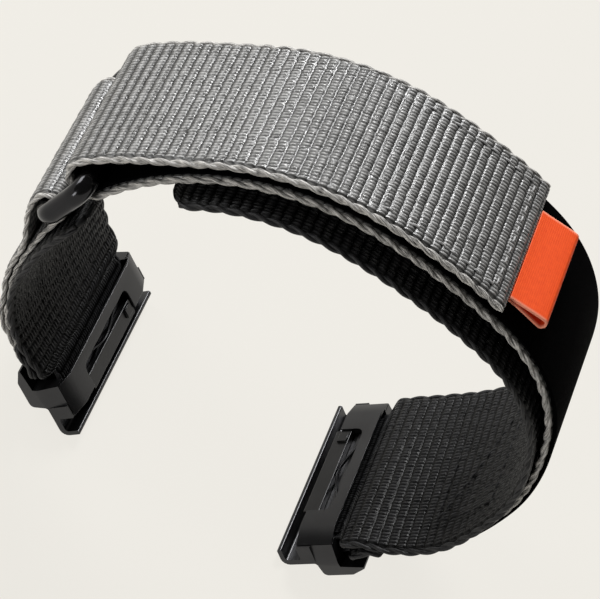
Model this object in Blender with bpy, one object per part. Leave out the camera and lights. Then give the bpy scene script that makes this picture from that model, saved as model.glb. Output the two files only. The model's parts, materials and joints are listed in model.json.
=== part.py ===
"""Nylon watch strap: a woven hook-and-loop band with a sliding ring and two clip-on end adapters.

The strap stands on its two adapters, as an arch. X runs from the left adapter to the right one,
Y across the width of the webbing, Z up. Every layer of webbing follows one base curve: the inner
surface of the long band, a chain of tangent arcs that starts at the crest and runs down both
sides. A place on it is a distance along the curve, positive to the right, and an offset outwards.
"""
import math

import bmesh
import bpy
import numpy as np
from mathutils import Matrix, Vector

# Base curve, crest to adapter: radius and turn of each arc on the two sides.
CREST_RADIUS = 0.0620
CREST_TURN = 17.0
SHOULDER_RADIUS = 0.0186
SHOULDER_TURN = 51.0
SIDE_RADIUS = 0.0306
SIDE_TURN = 65.0
LEFT_SIDE_RADIUS = 0.0300
LEFT_SIDE_TURN = 91.0
LEFT_HEEL_RADIUS = 0.0232
LEFT_HEEL_TURN = 42.0

# Near the adapters all layers lie further in than the base curve, towards the wrist.
RIGHT_HEEL_SET = 0.0038
RIGHT_HEEL_SHARES = ((0.60, 0.0), (0.70, 0.05), (0.80, 0.27), (0.86, 0.46), (0.93, 0.75), (1.0, 1.0))
LEFT_HEEL_SET = 0.0026
LEFT_HEEL_SHARES = ((0.80, 0.0), (0.86, 0.1), (0.91, 0.25), (0.96, 0.46), (1.0, 0.62), (1.07, 1.0))

# Long band and flap: one strip of grey webbing lined with black loop fabric.
BAND_WIDTH = 0.0220
BAND_THICKNESS = 0.0008
LINING_THICKNESS = 0.00045
LINING_INSET = 0.0009
SEWN_GAP = 0.0001
REST_GAP = 0.00025
BAND_FOOT_CLEARANCE = 0.0095
FLAP_REACH = 0.0162
FLAP_EASE_LENGTH = 0.0130
FLAP_LEAN = 16.0
FLAP_HINGE_GAP = 0.0002
HOOK_PATCH_LENGTH = 0.0185
HOOK_PATCH_MARGIN = 0.0010

# Pull tab: a ribbon folded into a loop at the end of the flap.
TAB_WIDTH = 0.0152
TAB_SHIFT = 0.0010
TAB_LENGTH = 0.0052
TAB_RIBBON = 0.00030
TAB_LOOP_RADIUS = 0.00048
TAB_ROOT_SPREAD = 0.00022
TAB_LIFT = 8.0

# Black webbing that carries the adapters.
CARRIER_WIDTH = 0.0260
CARRIER_THICKNESS = 0.0008
NECK_CLEARANCE = 0.0003
NECK_THICKNESS = 0.0007
NECK_REACH = 0.0027
NECK_SHOULDER = 0.0009
CARRIER_EXIT = 0.0040
CARRIER_RETURN = 0.0080
TONGUE_REACH = 0.0246
TONGUE_CORNER = 0.0034
SEALED_CORNER = 0.0001
TONGUE_SAG = 0.0022
TONGUE_SAG_SHARES = ((-0.38, 0.60), (0.0, 1.0), (0.30, 0.80), (0.45, 0.40), (0.60, 0.05), (0.66, 0.0))
LINER_SET_IN = 0.00025
LINER_END = 0.0362
LINER_SAG = 0.0008
LINER_SAG_LENGTH = 0.0110

# Short grey strap that carries the ring.
RING_STRAP_THICKNESS = 0.00065
RING_STRAP_EASE = 0.0080
RING_STRAP_FOOT_CLEARANCE = 0.0048
RING_STRAP_HEM = 0.0018
INNER_LEG_SETBACK = 0.0024
LAYER_CHANGE_LENGTH = 0.0040

# Ring of round wire.
RING_WIRE = 0.0026
RING_SIDE_CLEARANCE = 0.0004
RING_BAR_SPACING = 0.0074
RING_CORNER = 0.0020
RING_BAR_CLEARANCE = 0.0002
RING_FOLD_PLACE = 0.0329
RING_STRAP_SET_IN = 0.0006

# Adapter, measured from the strap bar: along it towards the strap, and up towards the wrist.
ADAPTER_REACH = 0.0046
RIGHT_BAR_SET_IN = 0.00235
LEFT_BAR_SET_IN = 0.00185
LEFT_ADAPTER_TILT = 7.0
ADAPTER_WIDTH = 0.0260
ADAPTER_INNER_FACE = 0.0027
ADAPTER_OUTER_FACE = 0.0033
LIP_TOP = 0.00165
LIP_THICKNESS = 0.0006
CHANNEL_WIDTH = 0.0020
CHANNEL_DEPTH = 0.00175
CHANNEL_FLOOR = 0.00075
CHANNEL_CORNER = 0.0004
HOOK_CORNER = 0.0010
HOOK_TO_BAR = 0.0033
MOUTH_EDGE = 0.0014
MOUTH_DROP = 0.0003
BLOCK_START = 0.0013
BLOCK_FLANK = 0.00015
BLOCK_SLOPE_START = 0.0025
BLOCK_END = 0.0044
BLOCK_CORNER = 0.0006
BLOCK_TIP = 0.00026
END_TOP_SET_IN = 0.0004
END_BOTTOM_SET_IN = 0.0005
END_RIDGE_HEIGHT = 0.00085
COVER_THICKNESS = 0.00075
COVER_GAP = 0.0001
COVER_END_SLOPE = 0.0024
COVER_UNDERCUT = 0.0007
COVER_UNDERCUT_DEPTH = 0.00035
POCKET_CLEARANCE = 0.00015
POCKET_END_WALL = 0.0019
POCKET_FLARE = 0.0001
BAR_RADIUS = 0.0006
BAR_WRAP_GAP = 0.0001
BAR_SEAT = 0.0009
BAR_CLEARANCE = 0.0001
DOWEL_RADIUS = 0.00035
DOWEL_LENGTH = 0.0009
DOWEL_PLACE = 0.0023
DOWEL_SPREAD = 0.0190
DOWEL_CLEARANCE = 0.00008

# Latch, which slides in the body under the cover's window, sprung towards the channel.
WINDOW_LENGTH = 0.0032
WINDOW_SPAN = 0.0146
WINDOW_CORNER = 0.0010
LATCH_POCKET_DEPTH = 0.00035
LATCH_LENGTH = 0.0021
LATCH_CATCH = 0.0006
LATCH_SET_IN = 0.00025
LATCH_CLEARANCE = 0.0001
LATCH_TRAVEL = 0.0008
LATCH_EAR = 0.0005
LATCH_EAR_LENGTH = 0.0007
LATCH_EAR_HEIGHT = 0.0002
NUB_SPAN = 0.0014
NUB_LENGTH = 0.0013
NUB_HEIGHT = 0.0003
NUB_PLACE = 0.0058
SPRING_THICKNESS = 0.00015
SPRING_HEIGHT = 0.0004
SPRING_SPAN = 0.0110

# Fineness of the model, and how far a cutter passes what it cuts.
STATION_STEP = 0.0024
CUT_OVERRUN = 0.0010
FILLET_STEPS = 4
CORNER_STEPS = 5
WIRE_SIDES = 12
ROUND_SIDES = 16
HAIRPIN_STEPS = 12
SOLVE_STEPS = 8

# Sizes that follow from the ones above.
RIGHT_ARCS = ((CREST_RADIUS, CREST_TURN), (SHOULDER_RADIUS, SHOULDER_TURN), (SIDE_RADIUS, SIDE_TURN))
LEFT_ARCS = ((LEFT_SIDE_RADIUS, LEFT_SIDE_TURN), (LEFT_HEEL_RADIUS, LEFT_HEEL_TURN))
RIGHT_LENGTH = sum(radius * math.radians(turn) for radius, turn in RIGHT_ARCS)
LEFT_LENGTH = sum(radius * math.radians(turn) for radius, turn in LEFT_ARCS)
RIGHT_BAR_PLACE = RIGHT_LENGTH + ADAPTER_REACH
LEFT_BAR_PLACE = LEFT_LENGTH + ADAPTER_REACH

WIRE_RADIUS = RING_WIRE / 2
BAND_MIDDLE = BAND_THICKNESS / 2
LINING_MIDDLE = BAND_THICKNESS + SEWN_GAP + LINING_THICKNESS / 2
FOLD_LINING_RADIUS = WIRE_RADIUS + RING_BAR_CLEARANCE + LINING_THICKNESS / 2
FOLD_BAND_RADIUS = FOLD_LINING_RADIUS + LINING_THICKNESS / 2 + SEWN_GAP + BAND_THICKNESS / 2
FOLD_OFFSET = BAND_MIDDLE + FOLD_BAND_RADIUS
FLAP_LINING_MIDDLE = BAND_THICKNESS + SEWN_GAP + LINING_THICKNESS + REST_GAP + LINING_THICKNESS / 2
FLAP_BAND_MIDDLE = FLAP_LINING_MIDDLE + LINING_THICKNESS / 2 + SEWN_GAP + BAND_THICKNESS / 2
ROLL_RADIUS = WIRE_RADIUS + RING_BAR_CLEARANCE + RING_STRAP_THICKNESS / 2
LOWER_BAR_OFFSET = FOLD_OFFSET - RING_STRAP_SET_IN

RIGHT_CARRIER_MIDDLE = -(SEWN_GAP + CARRIER_THICKNESS / 2)
LEFT_CARRIER_MIDDLE = -LINER_SET_IN
LAYER_STEP = CARRIER_THICKNESS + SEWN_GAP
WRAP_RADIUS = BAR_RADIUS + BAR_WRAP_GAP + NECK_THICKNESS / 2
POCKET_RADIUS = WRAP_RADIUS + NECK_THICKNESS / 2 + POCKET_CLEARANCE
INNER_LEG_MIDDLE = LEFT_CARRIER_MIDDLE + CARRIER_THICKNESS / 2 + SEWN_GAP + RING_STRAP_THICKNESS / 2
OUTER_LEG_MIDDLE = INNER_LEG_MIDDLE + RING_STRAP_THICKNESS + SEWN_GAP

COVER_BOTTOM = ADAPTER_INNER_FACE - COVER_THICKNESS
BODY_TOP = COVER_BOTTOM - COVER_GAP
HALF_WIDTH = ADAPTER_WIDTH / 2
HOOK_FRONT = -(HOOK_TO_BAR + CHANNEL_WIDTH + LIP_THICKNESS)
CHANNEL_BOTTOM = LIP_TOP - CHANNEL_DEPTH
HOOK_BOTTOM = CHANNEL_BOTTOM - CHANNEL_FLOOR
MOUTH_FLOOR = -(POCKET_RADIUS + POCKET_FLARE)
POCKET_HALF_SPAN = HALF_WIDTH - POCKET_END_WALL
NECK_WIDTH = 2 * (POCKET_HALF_SPAN - NECK_CLEARANCE)
LATCH_BACK = LATCH_LENGTH - HOOK_TO_BAR - LATCH_CATCH
LATCH_FLOOR = BODY_TOP - LATCH_POCKET_DEPTH
EAR_FLOOR = LATCH_FLOOR + LATCH_EAR_HEIGHT / 4
EAR_BACK = LATCH_BACK - LATCH_CLEARANCE / 2
EAR_FRONT = EAR_BACK - LATCH_EAR_LENGTH

GREY = (0.30, 0.30, 0.30)
BLACK = (0.018, 0.018, 0.020)
LOOP_BLACK = (0.006, 0.006, 0.007)
ORANGE = (0.90, 0.12, 0.025)
METAL = (0.030, 0.030, 0.032)
GLOSS = (0.008, 0.008, 0.009)
STEEL = (0.45, 0.45, 0.46)


def clear_scene():
    """Removes whatever the scene holds."""
    for thing in list(bpy.data.objects):
        bpy.data.objects.remove(thing, do_unlink=True)


def material(name, colour, roughness, metallic):
    """Gives the named Principled material, made once."""
    found = bpy.data.materials.get(name)
    if found:
        return found
    made = bpy.data.materials.new(name)
    made.use_nodes = True
    shader = made.node_tree.nodes["Principled BSDF"]
    shader.inputs["Base Color"].default_value = (*colour, 1.0)
    shader.inputs["Roughness"].default_value = roughness
    shader.inputs["Metallic"].default_value = metallic
    return made


def finishes():
    """Makes the finishes that the pieces share."""
    return {
        "grey": material("grey_webbing", GREY, 0.85, 0.0),
        "black": material("black_webbing", BLACK, 0.85, 0.0),
        "loop": material("loop_fabric", LOOP_BLACK, 0.95, 0.0),
        "ribbon": material("orange_ribbon", ORANGE, 0.70, 0.0),
        "satin": material("satin_black_metal", METAL, 0.38, 0.9),
        "gloss": material("gloss_black_ring", GLOSS, 0.12, 0.0),
        "steel": material("steel", STEEL, 0.30, 1.0),
    }


def smoothstep(value):
    """Eases from 0 to 1 with level ends."""
    t = min(max(value, 0.0), 1.0)
    return t * t * (3.0 - 2.0 * t)


def eased(share, pairs):
    """Reads a table of shares along a smooth curve through its pairs, level at both ends."""
    if share <= pairs[0][0]:
        return pairs[0][1]
    if share >= pairs[-1][0]:
        return pairs[-1][1]
    index = max(k for k in range(len(pairs) - 1) if pairs[k][0] <= share)
    slopes = []
    for k in (index, index + 1):
        if 0 < k < len(pairs) - 1:
            slopes.append((pairs[k + 1][1] - pairs[k - 1][1]) / (pairs[k + 1][0] - pairs[k - 1][0]))
        else:
            slopes.append(0.0)
    (low, a), (high, b) = pairs[index], pairs[index + 1]
    run = high - low
    t = (share - low) / run
    blend = smoothstep(t)
    return (a + (b - a) * blend + run * slopes[0] * t * (1.0 - t) ** 2
            - run * slopes[1] * t ** 2 * (1.0 - t))


def walk(arcs, distance):
    """Walks a chain of tangent arcs from the crest: place, and heading below the horizontal."""
    x, z, heading = 0.0, 0.0, 0.0
    for radius, turn in arcs:
        length = radius * math.radians(turn)
        step = min(distance, length)
        after = heading + step / radius
        x += radius * (math.sin(after) - math.sin(heading))
        z += radius * (math.cos(after) - math.cos(heading))
        heading = after
        distance -= step
        if distance <= 0.0:
            return x, z, heading
    return x + distance * math.cos(heading), z - distance * math.sin(heading), heading


def rail(place, offset):
    """Gives the point at a distance along the base curve, set outwards by an offset."""
    side = 1.0 if place >= 0.0 else -1.0
    x, z, heading = walk(RIGHT_ARCS if side > 0 else LEFT_ARCS, abs(place))
    return np.array([side * (x + offset * math.sin(heading)), z + offset * math.cos(heading)])


def outward(place):
    """Gives the outward direction at a distance along the base curve."""
    return (rail(place, STATION_STEP) - rail(place, 0.0)) / STATION_STEP


def heel_set(place):
    """Tells how far the layers lie towards the wrist near an adapter."""
    if place >= 0.0:
        return RIGHT_HEEL_SET * eased(place / RIGHT_LENGTH, RIGHT_HEEL_SHARES)
    return LEFT_HEEL_SET * eased(-place / LEFT_LENGTH, LEFT_HEEL_SHARES)


def layer(place, offset):
    """Gives a point of a layer of webbing, which lies further in near the adapters."""
    return rail(place, offset - heel_set(place))


def lower_bar_place():
    """Finds how far down the base curve the ring's lower bar lies, one bar spacing from the upper."""
    upper = rail(-RING_FOLD_PLACE, FOLD_OFFSET)
    place = RING_FOLD_PLACE + RING_BAR_SPACING
    for _ in range(SOLVE_STEPS):
        place += RING_BAR_SPACING - np.linalg.norm(upper - rail(-place, LOWER_BAR_OFFSET))
    return place


def stations(start, stop, step):
    """Spaces places evenly between two, a step or less apart."""
    count = max(2, math.ceil(abs(stop - start) / step) + 1)
    return np.linspace(start, stop, count)


def fillet(corners):
    """Rounds each corner (a, b, radius) of a closed outline."""
    points = []
    count = len(corners)
    for index, (a, b, radius) in enumerate(corners):
        here = np.array([a, b])
        if radius <= 0.0:
            points.append(here)
            continue
        before = np.array(corners[index - 1][:2]) - here
        after = np.array(corners[(index + 1) % count][:2]) - here
        before /= np.linalg.norm(before)
        after /= np.linalg.norm(after)
        half = math.acos(float(np.clip(before @ after, -1.0, 1.0))) / 2
        middle = (before + after) / np.linalg.norm(before + after)
        centre = here + middle * radius / math.sin(half)
        first = here + before * radius / math.tan(half) - centre
        last = here + after * radius / math.tan(half) - centre
        turn = math.atan2(first[0] * last[1] - first[1] * last[0], float(first @ last))
        for k in range(FILLET_STEPS + 1):
            angle = turn * k / FILLET_STEPS
            spin = np.array([[math.cos(angle), -math.sin(angle)], [math.sin(angle), math.cos(angle)]])
            points.append(centre + spin @ first)
    return points


def bar_place(side):
    """Gives where a strap bar lies along the base curve."""
    return RIGHT_BAR_PLACE if side > 0 else -LEFT_BAR_PLACE


def bar_offset(side):
    """Gives how far a strap bar lies from the base curve."""
    return -(RIGHT_BAR_SET_IN if side > 0 else LEFT_BAR_SET_IN)


def adapter_axes(side):
    """Gives the strap bar's place, and the directions towards the strap and towards the wrist."""
    place, offset = bar_place(side), bar_offset(side)
    bar = rail(place, offset)
    inward = -outward(place)
    along = rail(place - side * STATION_STEP, offset) - bar
    along /= np.linalg.norm(along)
    tilt = math.radians(LEFT_ADAPTER_TILT if side < 0 else 0.0)
    turned = math.cos(tilt) * along - math.sin(tilt) * inward
    return bar, turned, math.cos(tilt) * inward + math.sin(tilt) * along


def body_outline():
    """Outlines the adapter body: hook, channel, roof and outer block."""
    return fillet([
        (HOOK_FRONT, LIP_TOP, LIP_THICKNESS / 3),
        (HOOK_FRONT + LIP_THICKNESS, LIP_TOP, LIP_THICKNESS / 3),
        (HOOK_FRONT + LIP_THICKNESS, CHANNEL_BOTTOM, CHANNEL_CORNER),
        (-HOOK_TO_BAR, CHANNEL_BOTTOM, BLOCK_TIP),
        (-HOOK_TO_BAR, BODY_TOP, 0.0),
        (MOUTH_EDGE, BODY_TOP, 0.0),
        (MOUTH_EDGE, MOUTH_FLOOR, 0.0),
        (BLOCK_END, MOUTH_FLOOR - MOUTH_DROP, 0.0),
        (BLOCK_END, MOUTH_FLOOR - MOUTH_DROP - BLOCK_TIP, 0.0),
        (BLOCK_SLOPE_START, -ADAPTER_OUTER_FACE, BLOCK_CORNER),
        (-BLOCK_START, -ADAPTER_OUTER_FACE, BLOCK_CORNER),
        (-BLOCK_START - BLOCK_FLANK, HOOK_BOTTOM, BLOCK_CORNER / 2),
        (HOOK_FRONT, HOOK_BOTTOM, HOOK_CORNER),
    ])


def standing_placement(outlines):
    """Turns and moves the strap so that both adapters touch the floor, centred under the arch."""
    feet = []
    for side in (-1, 1):
        bar, along, inward = adapter_axes(side)
        profile = [bar + a * along + b * inward for a, b in body_outline()]
        feet.append(min(profile, key=lambda point: point[1]))
    run = feet[1] - feet[0]
    angle = -math.atan2(run[1], run[0])
    spin = np.array([[math.cos(angle), -math.sin(angle)], [math.sin(angle), math.cos(angle)]])
    spread = np.array([spin @ point for outline in outlines for point in outline])
    centre = (spread[:, 0].min() + spread[:, 0].max()) / 2
    return spin, np.array([centre, (spin @ feet[0])[1]])


def surfaces(midline, thickness):
    """Offsets a midline by half its thickness to both sides."""
    line = np.array(midline)
    tangent = np.gradient(line, axis=0)
    tangent /= np.linalg.norm(tangent, axis=1)[:, None]
    normal = np.stack([-tangent[:, 1], tangent[:, 0]], axis=1)
    half = np.broadcast_to(np.asarray(thickness, float) / 2, len(line))[:, None]
    return line + normal * half, line - normal * half


def travelled(midline):
    """Gives the distance travelled along a midline at each of its points."""
    steps = np.linalg.norm(np.diff(np.array(midline), axis=0), axis=1)
    return np.concatenate([[0.0], np.cumsum(steps)])


def rounded_end(distance, corner):
    """Tells how far a rounded corner cuts in at a distance from the end."""
    if distance >= corner:
        return 0.0
    return corner - math.sqrt(max(corner ** 2 - (corner - distance) ** 2, 0.0))


def corner_stations(corner):
    """Spaces distances from an end so that its round corner is smooth."""
    return [corner * (1.0 - math.cos(math.pi / 2 * k / CORNER_STEPS)) for k in range(CORNER_STEPS + 1)]


def finish_mesh(name, build, finish, pivot):
    """Turns a bmesh into an object that hangs on a pivot empty, faces out."""
    bmesh.ops.recalc_face_normals(build, faces=build.faces)
    mesh = bpy.data.meshes.new(name)
    build.to_mesh(mesh)
    build.free()
    made = bpy.data.objects.new(name, mesh)
    bpy.context.scene.collection.objects.link(made)
    if finish:
        mesh.materials.append(finish)
    if pivot:
        mesh.transform(Matrix.Translation(-pivot.location))
        made.parent = pivot
    return made


def pivot_empty(name, place, middle=0.0):
    """Makes the empty on a joint's axis that the moving pieces hang on."""
    empty = bpy.data.objects.new(name, None)
    empty.location = (float(place[0]), middle, float(place[1]))
    bpy.context.scene.collection.objects.link(empty)
    print("pivot", name, [round(value * 1000, 4) for value in empty.location])
    return empty


def strip(name, midline, thickness, half_widths, finish, pivot, placement, middle=0.0):
    """Sweeps a flat strip along a midline in the loop's plane, with a width for each point."""
    upper, lower = surfaces([place_point(point, placement) for point in midline], thickness)
    widths = np.broadcast_to(np.asarray(half_widths, float), len(upper))
    build = bmesh.new()
    rings = []
    for above, below, half in zip(upper, lower, widths):
        corners = ((above, -half), (above, half), (below, half), (below, -half))
        rings.append([build.verts.new((p[0], middle + y, p[1])) for p, y in corners])
    for first, second in zip(rings, rings[1:]):
        for k in range(len(first)):
            n = (k + 1) % len(first)
            build.faces.new((first[k], first[n], second[n], second[k]))
    build.faces.new(rings[0])
    build.faces.new(rings[-1])
    return finish_mesh(name, build, finish, pivot)


def place_point(point, placement):
    """Moves a point of the loop's plane to where the strap stands."""
    spin, shift = placement
    return spin @ np.array(point) - shift


def band_midline(middle, fold_radius):
    """Runs one layer of the band up the right side, over the crest and round the ring's bar."""
    start = RIGHT_BAR_PLACE - BAND_FOOT_CLEARANCE
    line = [layer(s, middle) for s in stations(start, -RING_FOLD_PLACE, STATION_STEP)]
    return line + hairpin(-RING_FOLD_PLACE, FOLD_OFFSET, fold_radius, -1.0, 180.0 + FLAP_LEAN)


def hairpin(place, offset, radius, direction, turn=180.0):
    """Turns round a bar from its wrist side to its outer side, past its right or its left."""
    centre = rail(place, offset)
    out = outward(place)
    past = direction * np.array([out[1], -out[0]])
    angles = [math.radians(turn) * k / HAIRPIN_STEPS for k in range(1, HAIRPIN_STEPS + 1)]
    return [centre - radius * math.cos(a) * out + radius * math.sin(a) * past for a in angles]


def flap_start(fold_radius):
    """Gives where a layer of the flap leaves the fold: its place on the curve and its offset."""
    lean = math.radians(FLAP_LEAN)
    offset = FOLD_OFFSET + fold_radius * math.cos(lean)
    stretch = 1.0 + offset / LEFT_SIDE_RADIUS
    return (fold_radius * math.sin(lean) + FLAP_HINGE_GAP) / stretch - RING_FOLD_PLACE, offset


def flap_midline(middle, fold_radius, stop, start=None):
    """Runs one layer of the flap from the fold down onto the band and over the crest."""
    leaves, high = flap_start(fold_radius)
    slope = -math.tan(math.radians(FLAP_LEAN)) * FLAP_EASE_LENGTH
    line = []
    for s in stations(leaves if start is None else start, stop, STATION_STEP):
        t = min(max((s - leaves) / FLAP_EASE_LENGTH, 0.0), 1.0)
        line.append(rail(s, high + (middle - high) * smoothstep(t) + slope * t * (1.0 - t) ** 2))
    return line


def carrier_legs(side, middle):
    """Gives the offsets of the carrier webbing's inner and short outer leg near its strap bar."""
    bar, centre = abs(bar_place(side)), bar_offset(side)

    def resting(distance):
        return middle - heel_set(side * distance)

    def inner(distance):
        near = smoothstep(1.0 - (bar - distance) / CARRIER_EXIT)
        return resting(distance) + (centre - WRAP_RADIUS - resting(distance)) * near

    def outer(distance):
        near = smoothstep(1.0 - (bar - distance) / CARRIER_RETURN)
        beside = resting(distance) + LAYER_STEP
        return beside + (centre + WRAP_RADIUS - beside) * near
    return inner, outer


def carrier_sizes(midline, bar, corner_start, corner_stop):
    """Narrows and thins the carrier webbing at its neck, and rounds its ends."""
    distance = travelled(midline)
    widths, thicknesses = [], []
    for point, gone in zip(midline, distance):
        away = (np.linalg.norm(point - bar) - NECK_REACH) / NECK_SHOULDER
        grown = math.sqrt(1.0 - (1.0 - min(max(away, 0.0), 1.0)) ** 2)
        half = (NECK_WIDTH + (CARRIER_WIDTH - NECK_WIDTH) * grown) / 2
        cut = rounded_end(gone, corner_start) + rounded_end(distance[-1] - gone, corner_stop)
        widths.append(half - cut)
        thicknesses.append(NECK_THICKNESS + (CARRIER_THICKNESS - NECK_THICKNESS) * smoothstep(away))
    return widths, thicknesses


def carrier_places(bar, far_end, corner):
    """Lists distances along one leg, from the strap bar to its rounded far end."""
    neck_end = bar - NECK_REACH - NECK_SHOULDER
    neck = list(np.linspace(bar, neck_end, 2 * CORNER_STEPS))
    body = list(stations(neck_end, far_end + corner, STATION_STEP))[1:]
    tip = [far_end + d for d in reversed(corner_stations(corner))][1:]
    return neck + body + tip


def carrier_midline(side, middle, far_end, sag):
    """Runs the black webbing from its short outer end, round the bar, to its free end."""
    inner, outer = carrier_legs(side, middle)
    bar = abs(bar_place(side))
    short = [rail(side * s, outer(s)) for s in carrier_places(bar, bar - CARRIER_RETURN, SEWN_GAP)]
    line = [rail(side * s, inner(s) - sag(s)) for s in carrier_places(bar, far_end, TONGUE_CORNER)]
    turn = hairpin(side * bar, bar_offset(side), WRAP_RADIUS, float(side))[:-1]
    return short[::-1] + turn[::-1] + line


def tongue_sag(distance):
    """Tells how far the tongue hangs below the band."""
    share = distance / (RIGHT_LENGTH if distance >= 0 else LEFT_LENGTH)
    return TONGUE_SAG * eased(share, TONGUE_SAG_SHARES)


def liner_sag(distance):
    """Tells how far the free end of the left webbing leans away from the ring."""
    return LINER_SAG * smoothstep(1.0 - (distance - LINER_END) / LINER_SAG_LENGTH)


def ring_strap_shape():
    """Runs the short grey strap up, round the ring's lower bar and down again, to a folded hem."""
    start = LEFT_BAR_PLACE - RING_STRAP_FOOT_CLEARANCE
    hem_start = start - RING_STRAP_HEM
    roll_place = lower_bar_place()
    raise_end = LEFT_BAR_PLACE - CARRIER_RETURN - STATION_STEP

    def leg(place, resting, high):
        raised = resting + LAYER_STEP * smoothstep((place - raise_end) / LAYER_CHANGE_LENGTH + 1.0)
        offset = raised - heel_set(-place)
        return offset + (high - offset) * smoothstep(1.0 - (place - roll_place) / RING_STRAP_EASE)

    def hem(place):
        return RING_STRAP_THICKNESS * smoothstep(2.0 * (place - hem_start) / RING_STRAP_HEM)
    inner_end = start - INNER_LEG_SETBACK
    inner_places = list(stations(inner_end, roll_place, STATION_STEP))
    low = [rail(-s, leg(s, INNER_LEG_MIDDLE, LOWER_BAR_OFFSET - ROLL_RADIUS)) for s in inner_places]
    outer_places = inner_places[-2::-1] + list(stations(inner_end, hem_start, STATION_STEP))[1:]
    outer_places += list(np.linspace(hem_start, start, CORNER_STEPS))[1:]
    high = [rail(-s, leg(s, OUTER_LEG_MIDDLE, LOWER_BAR_OFFSET + ROLL_RADIUS) + hem(s) / 2)
            for s in outer_places]
    line = low + hairpin(-roll_place, LOWER_BAR_OFFSET, ROLL_RADIUS, 1.0) + high
    single = len(line) - len(outer_places)
    thicknesses = [RING_STRAP_THICKNESS] * single + [RING_STRAP_THICKNESS + hem(s) for s in outer_places]
    return line, thicknesses


def tab_midline():
    """Runs the ribbon of the pull tab out from the flap, round its loop and back."""
    root = rail(FLAP_REACH + FLAP_HINGE_GAP, FLAP_BAND_MIDDLE)
    out = outward(FLAP_REACH)
    along = np.array([out[1], -out[0]])
    lift = math.radians(TAB_LIFT)
    ahead = math.cos(lift) * along + math.sin(lift) * out
    above = math.cos(lift) * out - math.sin(lift) * along
    reach = TAB_LENGTH - TAB_LOOP_RADIUS
    legs = []
    for k in range(CORNER_STEPS + 1):
        share = k / CORNER_STEPS
        spread = TAB_ROOT_SPREAD + (TAB_LOOP_RADIUS - TAB_ROOT_SPREAD) * smoothstep(share)
        legs.append((reach * share, spread))
    top = [root + d * ahead + h * above for d, h in legs]
    low = [root + d * ahead - h * above for d, h in reversed(legs)]
    turn = []
    for k in range(1, CORNER_STEPS + 1):
        angle = math.pi * k / (CORNER_STEPS + 1)
        turn.append(root + (reach + TAB_LOOP_RADIUS * math.sin(angle)) * ahead
                    + TAB_LOOP_RADIUS * math.cos(angle) * above)
    return top + turn + low


def ring_path():
    """Lists the ring's centre line as (across, along) pairs in its own plane."""
    half_span = BAND_WIDTH / 2 + RING_SIDE_CLEARANCE + WIRE_RADIUS
    half_height = RING_BAR_SPACING / 2
    points = []
    for k, (across, along) in enumerate(((1, 1), (-1, 1), (-1, -1), (1, -1))):
        for step in range(CORNER_STEPS + 1):
            angle = math.pi / 2 * (k + step / CORNER_STEPS)
            points.append((across * (half_span - RING_CORNER) + RING_CORNER * math.cos(angle),
                           along * (half_height - RING_CORNER) + RING_CORNER * math.sin(angle)))
    return points


def ring(finish, pivot, upper, lower):
    """Sweeps round wire along the ring's rounded rectangle, between its two bars."""
    centre = (upper + lower) / 2
    along = (upper - lower) / np.linalg.norm(upper - lower)
    side = np.array([along[1], -along[0]])
    path = ring_path()
    build = bmesh.new()
    loops = []
    for index, here in enumerate(path):
        ahead, behind = path[(index + 1) % len(path)], path[index - 1]
        run = np.array(ahead) - np.array(behind)
        run /= np.linalg.norm(run)
        loop = []
        for k in range(WIRE_SIDES):
            angle = 2 * math.pi * k / WIRE_SIDES
            flat = WIRE_RADIUS * math.cos(angle)
            y = here[0] - run[1] * flat
            point = centre + along * (here[1] + run[0] * flat) + side * WIRE_RADIUS * math.sin(angle)
            loop.append(build.verts.new((point[0], y, point[1])))
        loops.append(loop)
    for index, loop in enumerate(loops):
        following = loops[(index + 1) % len(loops)]
        for k in range(WIRE_SIDES):
            n = (k + 1) % WIRE_SIDES
            build.faces.new((loop[k], loop[n], following[n], following[k])).smooth = True
    return finish_mesh("ring", build, finish, pivot)


class Adapter:
    """Places the pieces of one adapter from its strap bar."""

    def __init__(self, side, placement):
        self.side = side
        bar, along, inward = adapter_axes(side)
        self.bar = place_point(bar, placement)
        self.along = placement[0] @ along
        self.inward = placement[0] @ inward

    def point(self, a, y, b):
        """Gives the world place of a point along, across and towards the wrist."""
        flat = self.bar + a * self.along + b * self.inward
        return Vector((flat[0], y, flat[1]))

    def across(self, name, outline, low, high, finish=None, pivot=None):
        """Extrudes an outline across the width, from one side to the other."""
        build = bmesh.new()
        rings = [[build.verts.new(self.point(a, y, b)) for a, b in outline] for y in (low, high)]
        return self.close(name, build, rings, finish, pivot)

    def lengthways(self, name, outline, low, high, finish=None, pivot=None):
        """Extrudes an outline of (across, inward) pairs along the strap's direction."""
        build = bmesh.new()
        rings = [[build.verts.new(self.point(a, y, b)) for y, b in outline] for a in (low, high)]
        return self.close(name, build, rings, finish, pivot)

    def upright(self, name, outline, low, high, finish=None, pivot=None):
        """Extrudes an outline of (along, across) pairs towards the wrist."""
        build = bmesh.new()
        rings = [[build.verts.new(self.point(a, y, b)) for a, y in outline] for b in (low, high)]
        return self.close(name, build, rings, finish, pivot)

    def close(self, name, build, rings, finish, pivot):
        """Joins two end outlines into one closed prism."""
        count = len(rings[0])
        for k in range(count):
            n = (k + 1) % count
            build.faces.new((rings[0][k], rings[0][n], rings[1][n], rings[1][k]))
        build.faces.new(rings[0])
        build.faces.new(rings[1])
        return finish_mesh(name, build, finish, pivot)


def circle(radius, a=0.0, b=0.0):
    """Lists the points of a circle."""
    turns = [2 * math.pi * k / ROUND_SIDES for k in range(ROUND_SIDES)]
    return [(a + radius * math.cos(t), b + radius * math.sin(t)) for t in turns]


def box_outline(low_a, high_a, low_b, high_b):
    """Lists the corners of a rectangle."""
    return [(low_a, low_b), (high_a, low_b), (high_a, high_b), (low_a, high_b)]


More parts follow.
